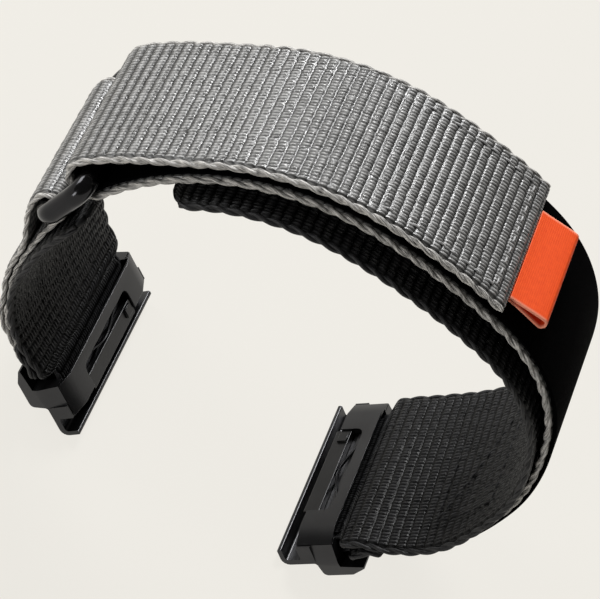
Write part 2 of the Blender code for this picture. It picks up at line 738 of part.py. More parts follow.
def combine(target, other, operation):
    """Cuts or joins another shape with a Boolean, and keeps that shape as a guide."""
    other.hide_render = True
    other.display_type = "WIRE"
    step = target.modifiers.new(other.name, "BOOLEAN")
    step.operation = operation
    step.object = other
    step.solver = "EXACT"


def end_trim(adapter, prefix, side):
    """Shapes what the sloping end facets take off the body beside the outer block."""
    reach = HALF_WIDTH + CUT_OVERRUN
    past_top = END_TOP_SET_IN * (1.0 + CUT_OVERRUN / (BODY_TOP + END_RIDGE_HEIGHT))
    outline = [
        (side * (HALF_WIDTH - past_top), BODY_TOP + CUT_OVERRUN),
        (side * HALF_WIDTH, -END_RIDGE_HEIGHT),
        (side * (HALF_WIDTH - END_BOTTOM_SET_IN), -ADAPTER_OUTER_FACE - CUT_OVERRUN / 4),
        (side * reach, -ADAPTER_OUTER_FACE - CUT_OVERRUN),
        (side * reach, BODY_TOP + CUT_OVERRUN),
    ]
    name = prefix + ("_far" if side > 0 else "_near") + "_end_trim"
    return adapter.lengthways(name, outline, -BLOCK_START - BLOCK_FLANK, BLOCK_END + CUT_OVERRUN)


def pocket_outline():
    """Outlines the pocket for the webbing's wrap, which opens towards the strap."""
    top = BODY_TOP + CUT_OVERRUN
    steps = [math.pi / 2 * (1 + k / FILLET_STEPS) for k in range(2 * FILLET_STEPS + 1)]
    bowl = [(POCKET_RADIUS * math.cos(t), POCKET_RADIUS * math.sin(t)) for t in steps]
    past_end = BLOCK_END + CUT_OVERRUN
    return [(0.0, top)] + bowl + [
        (MOUTH_EDGE, MOUTH_FLOOR), (past_end, MOUTH_FLOOR - MOUTH_DROP), (past_end, top)]


def dowel_holes(adapter, prefix, piece, target, low, high):
    """Drills the two blind holes that the cover's dowels sit in."""
    for index, y in enumerate((-DOWEL_SPREAD / 2, DOWEL_SPREAD / 2), 1):
        hole = adapter.upright(f"{prefix}_{piece}_dowel_hole_{index}",
                               circle(DOWEL_RADIUS + DOWEL_CLEARANCE, -DOWEL_PLACE, y), low, high)
        combine(target, hole, "DIFFERENCE")


def adapter_body(adapter, prefix, finish, pivot):
    """Builds the body: hook rail, pocket, outer block, sloping ends and the latch's pocket."""
    body = adapter.across(prefix + "_adapter_body", body_outline(), -HALF_WIDTH, HALF_WIDTH, finish, pivot)
    for side in (-1, 1):
        combine(body, end_trim(adapter, prefix, side), "DIFFERENCE")
    pocket = adapter.across(prefix + "_pocket_cut", pocket_outline(), -POCKET_HALF_SPAN, POCKET_HALF_SPAN)
    combine(body, pocket, "DIFFERENCE")
    seat = POCKET_HALF_SPAN + BAR_SEAT + BAR_CLEARANCE
    bore = adapter.across(prefix + "_bar_bore", circle(BAR_RADIUS + BAR_CLEARANCE), -seat, seat)
    combine(body, bore, "DIFFERENCE")
    top = BODY_TOP + CUT_OVERRUN
    half = WINDOW_SPAN / 2
    slot = adapter.upright(
        prefix + "_latch_slot_cut",
        box_outline(-HOOK_TO_BAR - CUT_OVERRUN, LATCH_BACK + LATCH_TRAVEL, -half, half), LATCH_FLOOR, top)
    combine(body, slot, "DIFFERENCE")
    groove_half = half + LATCH_EAR
    groove = adapter.upright(
        prefix + "_ear_groove_cut",
        box_outline(EAR_FRONT - LATCH_CLEARANCE, EAR_BACK + LATCH_TRAVEL, -groove_half, groove_half),
        EAR_FLOOR, top)
    combine(body, groove, "DIFFERENCE")
    dowel_holes(adapter, prefix, "body", body, COVER_BOTTOM - DOWEL_LENGTH / 2 - DOWEL_CLEARANCE, top)
    return body


def window_outline():
    """Outlines the window that the latch shows through, round at its corners on the strap side."""
    back = WINDOW_LENGTH - HOOK_TO_BAR
    half = WINDOW_SPAN / 2
    return fillet([(-HOOK_TO_BAR - CUT_OVERRUN, -half, 0.0), (back, -half, WINDOW_CORNER),
                   (back, half, WINDOW_CORNER), (-HOOK_TO_BAR - CUT_OVERRUN, half, 0.0)])


def adapter_cover(adapter, prefix, finish, pivot):
    """Builds the cover plate: sloping ends, the latch's window and room below its strap edge."""
    half_low = HALF_WIDTH - END_TOP_SET_IN
    half_high = half_low - COVER_END_SLOPE
    outline = [(-half_low, COVER_BOTTOM), (half_low, COVER_BOTTOM),
               (half_high, ADAPTER_INNER_FACE), (-half_high, ADAPTER_INNER_FACE)]
    cover = adapter.lengthways(
        prefix + "_adapter_cover", outline, -HOOK_TO_BAR, MOUTH_EDGE, finish, pivot)
    window = adapter.upright(prefix + "_window_cut", window_outline(),
                             COVER_BOTTOM - CUT_OVERRUN, ADAPTER_INNER_FACE + CUT_OVERRUN)
    combine(cover, window, "DIFFERENCE")
    low = COVER_BOTTOM - CUT_OVERRUN
    past_edge = MOUTH_EDGE + CUT_OVERRUN
    rise = COVER_UNDERCUT_DEPTH / COVER_UNDERCUT
    wedge = [(MOUTH_EDGE - COVER_UNDERCUT - CUT_OVERRUN / rise, low), (past_edge, low),
             (past_edge, COVER_BOTTOM + COVER_UNDERCUT_DEPTH + CUT_OVERRUN * rise)]
    undercut = adapter.across(prefix + "_undercut", wedge, -POCKET_HALF_SPAN, POCKET_HALF_SPAN)
    combine(cover, undercut, "DIFFERENCE")
    dowel_holes(adapter, prefix, "cover", cover, low, COVER_BOTTOM + DOWEL_LENGTH / 2 + DOWEL_CLEARANCE)
    return cover


def adapter_latch(adapter, prefix, finish, pivot):
    """Builds the sliding latch: catch bar, two guide ears and a raised nub."""
    floor = LATCH_FLOOR + LATCH_CLEARANCE
    top = ADAPTER_INNER_FACE - LATCH_SET_IN
    front = -HOOK_TO_BAR - LATCH_CATCH
    corner = LATCH_CLEARANCE
    half = WINDOW_SPAN / 2 - LATCH_CLEARANCE
    outline = fillet([(front, floor, corner), (LATCH_BACK, floor, 0.0),
                      (LATCH_BACK, top, corner), (front, top, corner)])
    latch = adapter.across(prefix + "_latch", outline, -half, half, finish, pivot)
    ear_half = half + LATCH_EAR
    low = EAR_FLOOR + LATCH_CLEARANCE
    ears = adapter.across(prefix + "_latch_ears",
                          box_outline(EAR_FRONT, EAR_BACK, low, low + LATCH_EAR_HEIGHT), -ear_half, ear_half)
    combine(latch, ears, "UNION")
    nub_back = LATCH_BACK - LATCH_CLEARANCE
    nub_front = nub_back - NUB_LENGTH
    crown = top + NUB_HEIGHT
    root = floor + LATCH_EAR_HEIGHT
    nub_outline = fillet([(nub_front, root, 0.0), (nub_back, root, 0.0),
                          (nub_back, crown, corner), (nub_front, crown, corner)])
    nub = adapter.across(
        prefix + "_latch_nub", nub_outline, NUB_PLACE - NUB_SPAN / 2, NUB_PLACE + NUB_SPAN / 2)
    combine(latch, nub, "UNION")
    return latch


def adapter_spring(adapter, prefix, finish, pivot):
    """Builds the bowed leaf spring between the latch and the back of the window."""
    back = WINDOW_LENGTH - HOOK_TO_BAR - LATCH_CLEARANCE - SPRING_THICKNESS / 2
    crown = LATCH_BACK + LATCH_CLEARANCE + SPRING_THICKNESS / 2
    line = []
    for k in range(2 * HAIRPIN_STEPS + 1):
        share = k / HAIRPIN_STEPS - 1.0
        bow = (1.0 + math.cos(math.pi * share)) / 2
        line.append((back + (crown - back) * bow, share * SPRING_SPAN / 2))
    near, far = surfaces(line, SPRING_THICKNESS)
    outline = [tuple(p) for p in near] + [tuple(p) for p in far[::-1]]
    low = BODY_TOP + LATCH_CLEARANCE / 2
    return adapter.upright(prefix + "_latch_spring", outline, low, low + SPRING_HEIGHT, finish, pivot)


def build_adapter(side, placement, look):
    """Builds one adapter and its latch, on pivots at the strap bar and on the latch's line."""
    prefix = "right" if side > 0 else "left"
    adapter = Adapter(side, placement)
    hinge = pivot_empty(prefix + "_adapter_pivot", adapter.bar)
    adapter_body(adapter, prefix, look["satin"], hinge)
    adapter_cover(adapter, prefix, look["satin"], hinge)
    half = POCKET_HALF_SPAN + BAR_SEAT
    adapter.across(prefix + "_strap_bar", circle(BAR_RADIUS), -half, half, look["steel"], hinge)
    for index, y in enumerate((-DOWEL_SPREAD / 2, DOWEL_SPREAD / 2), 1):
        adapter.upright(f"{prefix}_cover_dowel_{index}", circle(DOWEL_RADIUS, -DOWEL_PLACE, y),
                        COVER_BOTTOM - DOWEL_LENGTH / 2, COVER_BOTTOM + DOWEL_LENGTH / 2,
                        look["steel"], hinge)
    adapter_spring(adapter, prefix, look["steel"], hinge)
    seat = adapter.point(LATCH_BACK, 0.0, ADAPTER_INNER_FACE)
    slide = pivot_empty(prefix + "_latch_slide", (seat.x, seat.z))
    print(prefix, "latch slides along", [round(float(v), 5) for v in adapter.along])
    face = adapter.point(HOOK_FRONT, 0.0, LIP_TOP - CHANNEL_DEPTH / 2)
    print(prefix, "lip face", [round(v * 1000, 4) for v in face])
    adapter_latch(adapter, prefix, look["satin"], slide)


def build_band(placement, look, lines):
    """Builds the long band, the flap that folds back over it, its hook patch and the pull tab."""
    half = BAND_WIDTH / 2
    lined = half - LINING_INSET
    strip("band_webbing", lines["band"], BAND_THICKNESS, half, look["grey"], None, placement)
    strip("band_lining", lines["lining"], LINING_THICKNESS, lined, look["loop"], None, placement)
    crease = rail(*flap_start(FOLD_BAND_RADIUS)) + outward(-RING_FOLD_PLACE) * BAND_THICKNESS / 2
    peel = pivot_empty("flap_peel_pivot", place_point(crease, placement))
    strip("flap_webbing", lines["flap"], BAND_THICKNESS, half, look["grey"], peel, placement)
    strip("flap_lining", lines["flap_lining"], LINING_THICKNESS, lined, look["loop"], peel, placement)
    strip("hook_patch", lines["patch"], LINING_THICKNESS, lined, look["loop"], peel, placement)
    root = rail(FLAP_REACH + FLAP_HINGE_GAP / 2, FLAP_BAND_MIDDLE + BAND_THICKNESS / 2)
    lift = pivot_empty("tab_pivot", place_point(root, placement))
    strip("pull_tab", lines["tab"], TAB_RIBBON, TAB_WIDTH / 2, look["ribbon"], lift, placement,
          middle=-TAB_SHIFT)


def build_carriers(placement, look, lines, strap_pivot):
    """Builds the black webbing on both sides and the short grey strap that carries the ring."""
    for name, side, corner, pivot in (("right_webbing", 1, TONGUE_CORNER, None),
                                      ("left_webbing", -1, TONGUE_CORNER, strap_pivot)):
        bar = adapter_axes(side)[0]
        widths, thicknesses = carrier_sizes(lines[name], bar, SEALED_CORNER, corner)
        strip(name, lines[name], thicknesses, widths, look["black"], pivot, placement)
    line, thicknesses = ring_strap_shape()
    strip("ring_strap", line, thicknesses, BAND_WIDTH / 2, look["grey"], strap_pivot, placement)


def main():
    """Builds the whole strap, standing on its adapters."""
    clear_scene()
    look = finishes()
    patch_start = FLAP_REACH - HOOK_PATCH_LENGTH
    lines = {
        "band": band_midline(BAND_MIDDLE, FOLD_BAND_RADIUS),
        "lining": band_midline(LINING_MIDDLE, FOLD_LINING_RADIUS),
        "flap": flap_midline(FLAP_BAND_MIDDLE, FOLD_BAND_RADIUS, FLAP_REACH),
        "flap_lining": flap_midline(FLAP_LINING_MIDDLE, FOLD_LINING_RADIUS, patch_start - REST_GAP),
        "patch": flap_midline(FLAP_LINING_MIDDLE, FOLD_LINING_RADIUS, FLAP_REACH - HOOK_PATCH_MARGIN,
                              start=patch_start),
        "tab": tab_midline(),
        "right_webbing": carrier_midline(1, RIGHT_CARRIER_MIDDLE, -TONGUE_REACH, tongue_sag),
        "left_webbing": carrier_midline(-1, LEFT_CARRIER_MIDDLE, LINER_END, liner_sag),
    }
    outlines = list(surfaces(lines["band"], BAND_THICKNESS)) + list(surfaces(*ring_strap_shape()))
    placement = standing_placement(outlines)
    crest = place_point(rail(0.0, 0.0), placement)
    print("crest", [round(float(v) * 1000, 4) for v in crest], "turned",
          round(math.degrees(math.atan2(placement[0][1, 0], placement[0][0, 0])), 4), "degrees")
    upper = place_point(rail(-RING_FOLD_PLACE, FOLD_OFFSET), placement)
    lower = place_point(rail(-lower_bar_place(), LOWER_BAR_OFFSET), placement)
    ring_pivot = pivot_empty("ring_pivot", upper)
    strap_pivot = pivot_empty("strap_pivot", lower)
    build_band(placement, look, lines)
    build_carriers(placement, look, lines, strap_pivot)
    ring(look["gloss"], ring_pivot, upper, lower)
    for side in (-1, 1):
        build_adapter(side, placement, look)
    bpy.context.view_layer.update()


main()
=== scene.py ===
# %% [markdown]
# # A woven watch strap, dressed
# The imported model holds the strap's solids at their real size: bands of plain
# thickness, a ring and two end adapters. This lesson gives them the look of
# the real product. The webbing is built again as woven cloth, rib by rib, and
# the metal pieces keep their solids and get a finish. Nearly every piece rides
# on the body that carries it, so the joints still work.

# %% The frame
import json
import math

import bmesh
import bpy
import numpy as np
from mathutils import Matrix, Vector


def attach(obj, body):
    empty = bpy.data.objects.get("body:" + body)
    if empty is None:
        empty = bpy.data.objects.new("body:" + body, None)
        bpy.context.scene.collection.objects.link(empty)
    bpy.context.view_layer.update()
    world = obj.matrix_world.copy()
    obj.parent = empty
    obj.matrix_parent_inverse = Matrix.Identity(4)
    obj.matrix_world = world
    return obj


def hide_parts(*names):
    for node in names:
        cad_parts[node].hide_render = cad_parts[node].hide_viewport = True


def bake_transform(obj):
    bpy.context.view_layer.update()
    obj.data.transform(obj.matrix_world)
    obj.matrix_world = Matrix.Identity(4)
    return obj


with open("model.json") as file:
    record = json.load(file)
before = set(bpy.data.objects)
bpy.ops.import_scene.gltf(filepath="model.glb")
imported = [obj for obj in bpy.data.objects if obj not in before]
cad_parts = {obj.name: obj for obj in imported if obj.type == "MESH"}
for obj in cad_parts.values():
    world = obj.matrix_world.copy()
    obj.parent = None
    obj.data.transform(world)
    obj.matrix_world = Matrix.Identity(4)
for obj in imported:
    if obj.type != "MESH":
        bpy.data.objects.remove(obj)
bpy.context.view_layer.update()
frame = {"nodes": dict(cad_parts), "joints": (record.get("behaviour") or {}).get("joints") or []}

# %% [markdown]
# ## Small tools
# Every object is added in the same way, and nearly every dressed piece rides
# on one body and takes the place of one solid. Every swept shape is made of
# rows of points, each row joined to the one after it.

# %% Small tools
TURN = 2.0 * math.pi


def circle(sides):
    """Gives angles evenly spaced over a full turn."""
    return np.linspace(0.0, TURN, sides, endpoint=False)


def row_quads(low, high):
    """Joins rows of points, each closed round on itself, to the rows after them."""
    quads = np.stack([low, np.roll(low, -1, 1), np.roll(high, -1, 1), high], axis=-1)
    return quads.reshape(-1, 4).tolist()


def add_object(name, data):
    """Makes an object and links it to the scene."""
    made = bpy.data.objects.new(name, data)
    bpy.context.scene.collection.objects.link(made)
    return made


def add_mesh(name, points, faces, finishes):
    """Makes a smooth mesh object with its finishes."""
    mesh = bpy.data.meshes.new(name)
    mesh.from_pydata(points, [], faces)
    for finish in finishes:
        mesh.materials.append(finish)
    mesh.shade_smooth()
    return add_object(name, mesh)


def mount(made, body, solid=None):
    """Fixes a piece to a body and, where it replaces a solid, hides that solid."""
    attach(made, body)
    if solid:
        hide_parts(solid)


def joint_named(name):
    """Gives a joint's entry in the frame's record."""
    return next(joint for joint in frame["joints"] if joint["name"] == name)


# %% [markdown]
# ## The camera
# A product photographer stands back with a long lens, so that the near edge of
# the strap isn't much larger than the far one. The camera stands about 0.37 m
# from the strap's middle, 44 degrees above it and 9 degrees to its left, and
# is rolled so that the arch leans to the right.

# %% Camera
CAMERA_PLACE = (-0.041126, -0.2576, 0.283287)
CAMERA_RIGHT = (0.85315, 0.29318, 0.43149)
CAMERA_DOWN = (0.50944, -0.64627, -0.56816)
CAMERA_LENS = 186.86
CAMERA_RANGE = (0.01, 20.0)
SENSOR_WIDTH = 36.0


def add_camera():
    """Makes the camera from its place and the directions of its picture's axes."""
    data = bpy.data.cameras.new("camera")
    data.sensor_width = SENSOR_WIDTH
    data.lens = CAMERA_LENS
    data.clip_start, data.clip_end = CAMERA_RANGE
    camera = add_object("camera", data)
    right, down = Vector(CAMERA_RIGHT).normalized(), Vector(CAMERA_DOWN).normalized()
    turned = Matrix((right, -down, right.cross(-down))).transposed().to_4x4()
    camera.matrix_world = Matrix.Translation(CAMERA_PLACE) @ turned
    bpy.context.scene.camera = camera
    return camera


camera = add_camera()
print("camera", [round(v, 3) for v in camera.location], "lens", camera.data.lens)

# %% [markdown]
# ## The line that the layers follow
# All the webbing lies in layers over one base curve, a chain of tangent arcs
# that starts at the crest and runs down both sides. A point is a distance
# along it, positive to the right, and an offset outwards. The sizes are those
# of the solids, so each woven piece lies where its solid does.

# %% Base curve
CREST_RADIUS = 0.0620
CREST_TURN = 17.0
SHOULDER_RADIUS = 0.0186
SHOULDER_TURN = 51.0
SIDE_RADIUS = 0.0306
SIDE_TURN = 65.0
LEFT_SIDE_RADIUS = 0.0300
LEFT_SIDE_TURN = 91.0
LEFT_HEEL_RADIUS = 0.0232
LEFT_HEEL_TURN = 42.0
RIGHT_HEEL_SET = 0.0038
RIGHT_HEEL_SHARES = ((0.60, 0.0), (0.70, 0.05), (0.80, 0.27), (0.86, 0.46), (0.93, 0.75), (1.0, 1.0))
LEFT_HEEL_SET = 0.0026
LEFT_HEEL_SHARES = ((0.80, 0.0), (0.86, 0.1), (0.91, 0.25), (0.96, 0.46), (1.0, 0.62), (1.07, 1.0))
ADAPTER_REACH = 0.0046
RIGHT_BAR_SET_IN = 0.00235
LEFT_BAR_SET_IN = 0.00185

RIGHT_ARCS = ((CREST_RADIUS, CREST_TURN), (SHOULDER_RADIUS, SHOULDER_TURN), (SIDE_RADIUS, SIDE_TURN))
LEFT_ARCS = ((LEFT_SIDE_RADIUS, LEFT_SIDE_TURN), (LEFT_HEEL_RADIUS, LEFT_HEEL_TURN))
RIGHT_LENGTH = sum(radius * math.radians(turn) for radius, turn in RIGHT_ARCS)
LEFT_LENGTH = sum(radius * math.radians(turn) for radius, turn in LEFT_ARCS)
RIGHT_BAR_PLACE = RIGHT_LENGTH + ADAPTER_REACH
LEFT_BAR_PLACE = LEFT_LENGTH + ADAPTER_REACH


def smoothstep(value):
    """Eases from 0 to 1 with level ends."""
    t = np.clip(value, 0.0, 1.0)
    return t * t * (3.0 - 2.0 * t)


def eased(share, pairs):
    """Reads a table of shares along a smooth curve through its pairs, level at both ends."""
    if share <= pairs[0][0]:
        return pairs[0][1]
    if share >= pairs[-1][0]:
        return pairs[-1][1]
    index = max(k for k in range(len(pairs) - 1) if pairs[k][0] <= share)
    slopes = []
    for k in (index, index + 1):
        inner = 0 < k < len(pairs) - 1
        slopes.append((pairs[k + 1][1] - pairs[k - 1][1]) / (pairs[k + 1][0] - pairs[k - 1][0])
                      if inner else 0.0)
    (low, a), (high, b) = pairs[index], pairs[index + 1]
    run = high - low
    t = (share - low) / run
    return (a + (b - a) * smoothstep(t) + run * slopes[0] * t * (1.0 - t) ** 2
            - run * slopes[1] * t ** 2 * (1.0 - t))


def walk(arcs, distance):
    """Walks a chain of tangent arcs from the crest: place, and heading below the horizontal."""
    x, z, heading = 0.0, 0.0, 0.0
    for radius, turn in arcs:
        length = radius * math.radians(turn)
        step = min(distance, length)
        after = heading + step / radius
        x += radius * (math.sin(after) - math.sin(heading))
        z += radius * (math.cos(after) - math.cos(heading))
        heading = after
        distance -= step
        if distance <= 0.0:
            return x, z, heading
    return x + distance * math.cos(heading), z - distance * math.sin(heading), heading


def rail(place, offset):
    """Gives the point at a distance along the base curve, set outwards by an offset."""
    side = 1.0 if place >= 0.0 else -1.0
    x, z, heading = walk(RIGHT_ARCS if side > 0 else LEFT_ARCS, abs(place))
    return np.array([side * (x + offset * math.sin(heading)), z + offset * math.cos(heading)])


def heel_set(place):
    """Tells how far the layers lie towards the wrist near an adapter."""
    if place >= 0.0:
        return RIGHT_HEEL_SET * eased(place / RIGHT_LENGTH, RIGHT_HEEL_SHARES)
    return LEFT_HEEL_SET * eased(-place / LEFT_LENGTH, LEFT_HEEL_SHARES)


def joint_place(name):
    """Gives a joint's place in the plane of the loop."""
    return np.array(joint_named(name)["pos_m"])[[0, 2]]


def find_placement():
    """Finds the turn and shift that bring both strap bars of the curve onto those of the solids."""
    ends = [rail(RIGHT_BAR_PLACE, -RIGHT_BAR_SET_IN), rail(-LEFT_BAR_PLACE, -LEFT_BAR_SET_IN)]
    goals = [joint_place("right_adapter_pivot"), joint_place("left_adapter_pivot")]
    run, goal_run = ends[0] - ends[1], goals[0] - goals[1]
    angle = math.atan2(goal_run[1], goal_run[0]) - math.atan2(run[1], run[0])
    turn = np.array([[math.cos(angle), -math.sin(angle)], [math.sin(angle), math.cos(angle)]])
    return turn, goals[0] - turn @ ends[0]


SPIN, SHIFT = find_placement()
print("crest of the base curve", (SPIN @ rail(0.0, 0.0) + SHIFT).round(5))

# %% [markdown]
# ## Layers of webbing
# The grey strip climbs the right side, passes over the crest and folds round
# the ring's upper bar, and its free end comes back over the crest as the flap.
# The black webbing wraps the adapters' bars, and the short grey strap wraps
# the ring's lower bar. Each layer's offset from the base curve is worked out
# from the thicknesses and gaps of the layers under it.

# %% Thicknesses, gaps and offsets
BAND_WIDTH = 0.0220
BAND_THICKNESS = 0.0008
LINING_THICKNESS = 0.00045
SEWN_GAP = 0.0001
REST_GAP = 0.00025
CARRIER_WIDTH = 0.0260
CARRIER_THICKNESS = 0.0008
NECK_THICKNESS = 0.0007
LINER_SET_IN = 0.00025
RING_STRAP_THICKNESS = 0.00065
RING_WIRE = 0.0026
RING_BAR_CLEARANCE = 0.0002
RING_STRAP_SET_IN = 0.0006
BAR_RADIUS = 0.0006
BAR_WRAP_GAP = 0.0001

HALF_BAND = BAND_WIDTH / 2
WIRE_RADIUS = RING_WIRE / 2
BAND_MIDDLE = BAND_THICKNESS / 2
LINING_MIDDLE = BAND_THICKNESS + SEWN_GAP + LINING_THICKNESS / 2
FOLD_LINING_RADIUS = WIRE_RADIUS + RING_BAR_CLEARANCE + LINING_THICKNESS / 2
FOLD_BAND_RADIUS = FOLD_LINING_RADIUS + LINING_THICKNESS / 2 + SEWN_GAP + BAND_THICKNESS / 2
FOLD_OFFSET = BAND_MIDDLE + FOLD_BAND_RADIUS
FLAP_LINING_MIDDLE = BAND_THICKNESS + SEWN_GAP + LINING_THICKNESS + REST_GAP + LINING_THICKNESS / 2
FLAP_BAND_MIDDLE = FLAP_LINING_MIDDLE + LINING_THICKNESS / 2 + SEWN_GAP + BAND_THICKNESS / 2
ROLL_RADIUS = WIRE_RADIUS + RING_BAR_CLEARANCE + RING_STRAP_THICKNESS / 2
LOWER_BAR_OFFSET = FOLD_OFFSET - RING_STRAP_SET_IN
RIGHT_CARRIER_MIDDLE = -(SEWN_GAP + CARRIER_THICKNESS / 2)
LEFT_CARRIER_MIDDLE = -LINER_SET_IN
LAYER_STEP = CARRIER_THICKNESS + SEWN_GAP
WRAP_RADIUS = BAR_RADIUS + BAR_WRAP_GAP + NECK_THICKNESS / 2
INNER_LEG_MIDDLE = LEFT_CARRIER_MIDDLE + CARRIER_THICKNESS / 2 + SEWN_GAP + RING_STRAP_THICKNESS / 2
OUTER_LEG_MIDDLE = INNER_LEG_MIDDLE + RING_STRAP_THICKNESS + SEWN_GAP
print("layers outwards from the base curve:", round(BAND_MIDDLE, 5), round(LINING_MIDDLE, 5),
      round(FLAP_LINING_MIDDLE, 5), round(FLAP_BAND_MIDDLE, 5))

# %% [markdown]
# ## Lines of the layers
# Each line is a list of points and of the places on the base curve that they
# belong to, close enough together to be read as smooth. A line is made of
# stretches along the curve and of hairpins round the bars.

# %% Stretches and hairpins
PATH_STEP = 0.00012
HAIRPIN_STEPS = 48


def places(start, stop):
    """Spaces places evenly between two, a path step or less apart."""
    return np.linspace(start, stop, max(2, math.ceil(abs(stop - start) / PATH_STEP)))


def outward(place):
    """Gives the outward direction at a distance along the base curve, with a length of one."""
    return rail(place, 1.0) - rail(place, 0.0)


def hairpin(place, offset, radius, direction, turn=180.0):
    """Turns round a bar from its wrist side to its outer side, as (x, z, place) points."""
    centre = rail(place, offset)
    out = outward(place)
    past = direction * np.array([out[1], -out[0]])
    points = []
    for k in range(1, HAIRPIN_STEPS + 1):
        angle = math.radians(turn) * k / HAIRPIN_STEPS
        point = centre - radius * math.cos(angle) * out + radius * math.sin(angle) * past
        points.append((*point, place))
    return points


def along_rail(spots, offset):
    """Lists (x, z, place) points at places along the base curve, each with its offset."""
    return [(*rail(s, offset(s)), s) for s in spots]


# %% Lines of the band and the flap
BAND_FOOT_CLEARANCE = 0.0095
RING_FOLD_PLACE = 0.0329
FLAP_REACH = 0.0162
FLAP_EASE_LENGTH = 0.0130
FLAP_LEAN = 16.0
FLAP_HINGE_GAP = 0.0002


def band_line(middle, fold_radius):
    """Runs one layer of the band up the right side, over the crest and round the ring's bar."""
    spots = places(RIGHT_BAR_PLACE - BAND_FOOT_CLEARANCE, -RING_FOLD_PLACE)
    up = along_rail(spots, lambda s: middle - heel_set(s))
    return up + hairpin(-RING_FOLD_PLACE, FOLD_OFFSET, fold_radius, -1.0, 180.0 + FLAP_LEAN)


def flap_line(middle, fold_radius, stop, start=None):
    """Runs one layer of the flap from the fold down onto the band and over the crest."""
    lean = math.radians(FLAP_LEAN)
    high = FOLD_OFFSET + fold_radius * math.cos(lean)
    leaves = (fold_radius * math.sin(lean) + FLAP_HINGE_GAP) / (1.0 + high / LEFT_SIDE_RADIUS)
    leaves -= RING_FOLD_PLACE
    slope = -math.tan(lean) * FLAP_EASE_LENGTH

    def offset(s):
        t = min(max((s - leaves) / FLAP_EASE_LENGTH, 0.0), 1.0)
        return high + (middle - high) * smoothstep(t) + slope * t * (1.0 - t) ** 2
    return along_rail(places(leaves if start is None else start, stop), offset)


band_points = band_line(BAND_MIDDLE, FOLD_BAND_RADIUS)
print("points from the band's foot round the fold:", len(band_points))

# %% Lines of the black webbing
CARRIER_EXIT = 0.0040
CARRIER_RETURN = 0.0080
TONGUE_SAG = 0.0022
TONGUE_SAG_SHARES = ((-0.38, 0.60), (0.0, 1.0), (0.30, 0.80), (0.45, 0.40), (0.60, 0.05), (0.66, 0.0))
LINER_END = 0.0362
LINER_SAG = 0.0008
LINER_SAG_LENGTH = 0.0110


def tongue_sag(distance):
    """Tells how far the tongue hangs below the band."""
    share = distance / (RIGHT_LENGTH if distance >= 0 else LEFT_LENGTH)
    return TONGUE_SAG * eased(share, TONGUE_SAG_SHARES)


def liner_sag(distance):
    """Tells how far the free end of the left webbing leans away from the ring."""
    return LINER_SAG * smoothstep(1.0 - (distance - LINER_END) / LINER_SAG_LENGTH)


def carrier_line(side, middle, far_end, sag):
    """Runs the black webbing from its short outer end, round the bar, to its free end."""
    bar = RIGHT_BAR_PLACE if side > 0 else LEFT_BAR_PLACE
    centre = -(RIGHT_BAR_SET_IN if side > 0 else LEFT_BAR_SET_IN)

    def leg(reach, lift, radius):
        def offset(s):
            level = middle - heel_set(s) + lift
            return level + (centre + radius - level) * smoothstep(1.0 - (bar - side * s) / reach)
        return offset
    outer = leg(CARRIER_RETURN, LAYER_STEP, WRAP_RADIUS)
    inner = leg(CARRIER_EXIT, 0.0, -WRAP_RADIUS)
    short = along_rail(places(side * (bar - CARRIER_RETURN), side * bar), outer)
    turn = hairpin(side * bar, centre, WRAP_RADIUS, float(side))[::-1]
    free = places(side * bar, side * far_end)
    return short[:-1] + turn + along_rail(free, lambda s: inner(s) - sag(side * s))


print("tongue hangs at the crest by", round(float(tongue_sag(0.0)), 5))

# %% Line of the ring strap
RING_BAR_SPACING = 0.0074
RING_STRAP_EASE = 0.0080
RING_STRAP_FOOT_CLEARANCE = 0.0048
INNER_LEG_SETBACK = 0.0024
LAYER_CHANGE_LENGTH = 0.0040
LAYER_CHANGE_LEAD = 0.0024
SOLVE_STEPS = 8


def find_lower_bar():
    """Finds how far down the base curve the ring's lower bar lies."""
    upper = rail(-RING_FOLD_PLACE, FOLD_OFFSET)
    place = RING_FOLD_PLACE + RING_BAR_SPACING
    for _ in range(SOLVE_STEPS):
        place += RING_BAR_SPACING - np.linalg.norm(upper - rail(-place, LOWER_BAR_OFFSET))
    return place


LOWER_BAR_PLACE = find_lower_bar()


def ring_strap_line():
    """Runs the short grey strap up, round the ring's lower bar and down again, to its hem."""
    start = LEFT_BAR_PLACE - RING_STRAP_FOOT_CLEARANCE
    raise_end = LEFT_BAR_PLACE - CARRIER_RETURN - LAYER_CHANGE_LEAD

    def leg(resting, high):
        def offset(s):
            raised = resting + LAYER_STEP * smoothstep((-s - raise_end) / LAYER_CHANGE_LENGTH + 1.0)
            level = raised - heel_set(s)
            return level + (high - level) * smoothstep(1.0 - (-s - LOWER_BAR_PLACE) / RING_STRAP_EASE)
        return offset
    low = leg(INNER_LEG_MIDDLE, LOWER_BAR_OFFSET - ROLL_RADIUS)
    high = leg(OUTER_LEG_MIDDLE, LOWER_BAR_OFFSET + ROLL_RADIUS)
    line = along_rail(places(-(start - INNER_LEG_SETBACK), -LOWER_BAR_PLACE), low)
    line += hairpin(-LOWER_BAR_PLACE, LOWER_BAR_OFFSET, ROLL_RADIUS, 1.0)
    return line + along_rail(places(-LOWER_BAR_PLACE, -start), high)[1:]


print("the ring's lower bar lies", round(float(LOWER_BAR_PLACE), 5), "down the left side")

# %% [markdown]
# ## Even steps
# The rows of a woven mesh lie at even steps, so each line is read again as a
# path. A path also knows which way is out, and how far the strap leans near
# an adapter, where the real webbing is twisted a little.

# %% Path at even steps
RIGHT_TWIST = 0.0009
LEFT_TWIST = 0.00075
TWIST_SHARES = ((0.70, 0.0), (0.83, 0.9), (0.89, 1.0), (0.94, 0.7), (0.99, 0.1), (1.01, 0.0))


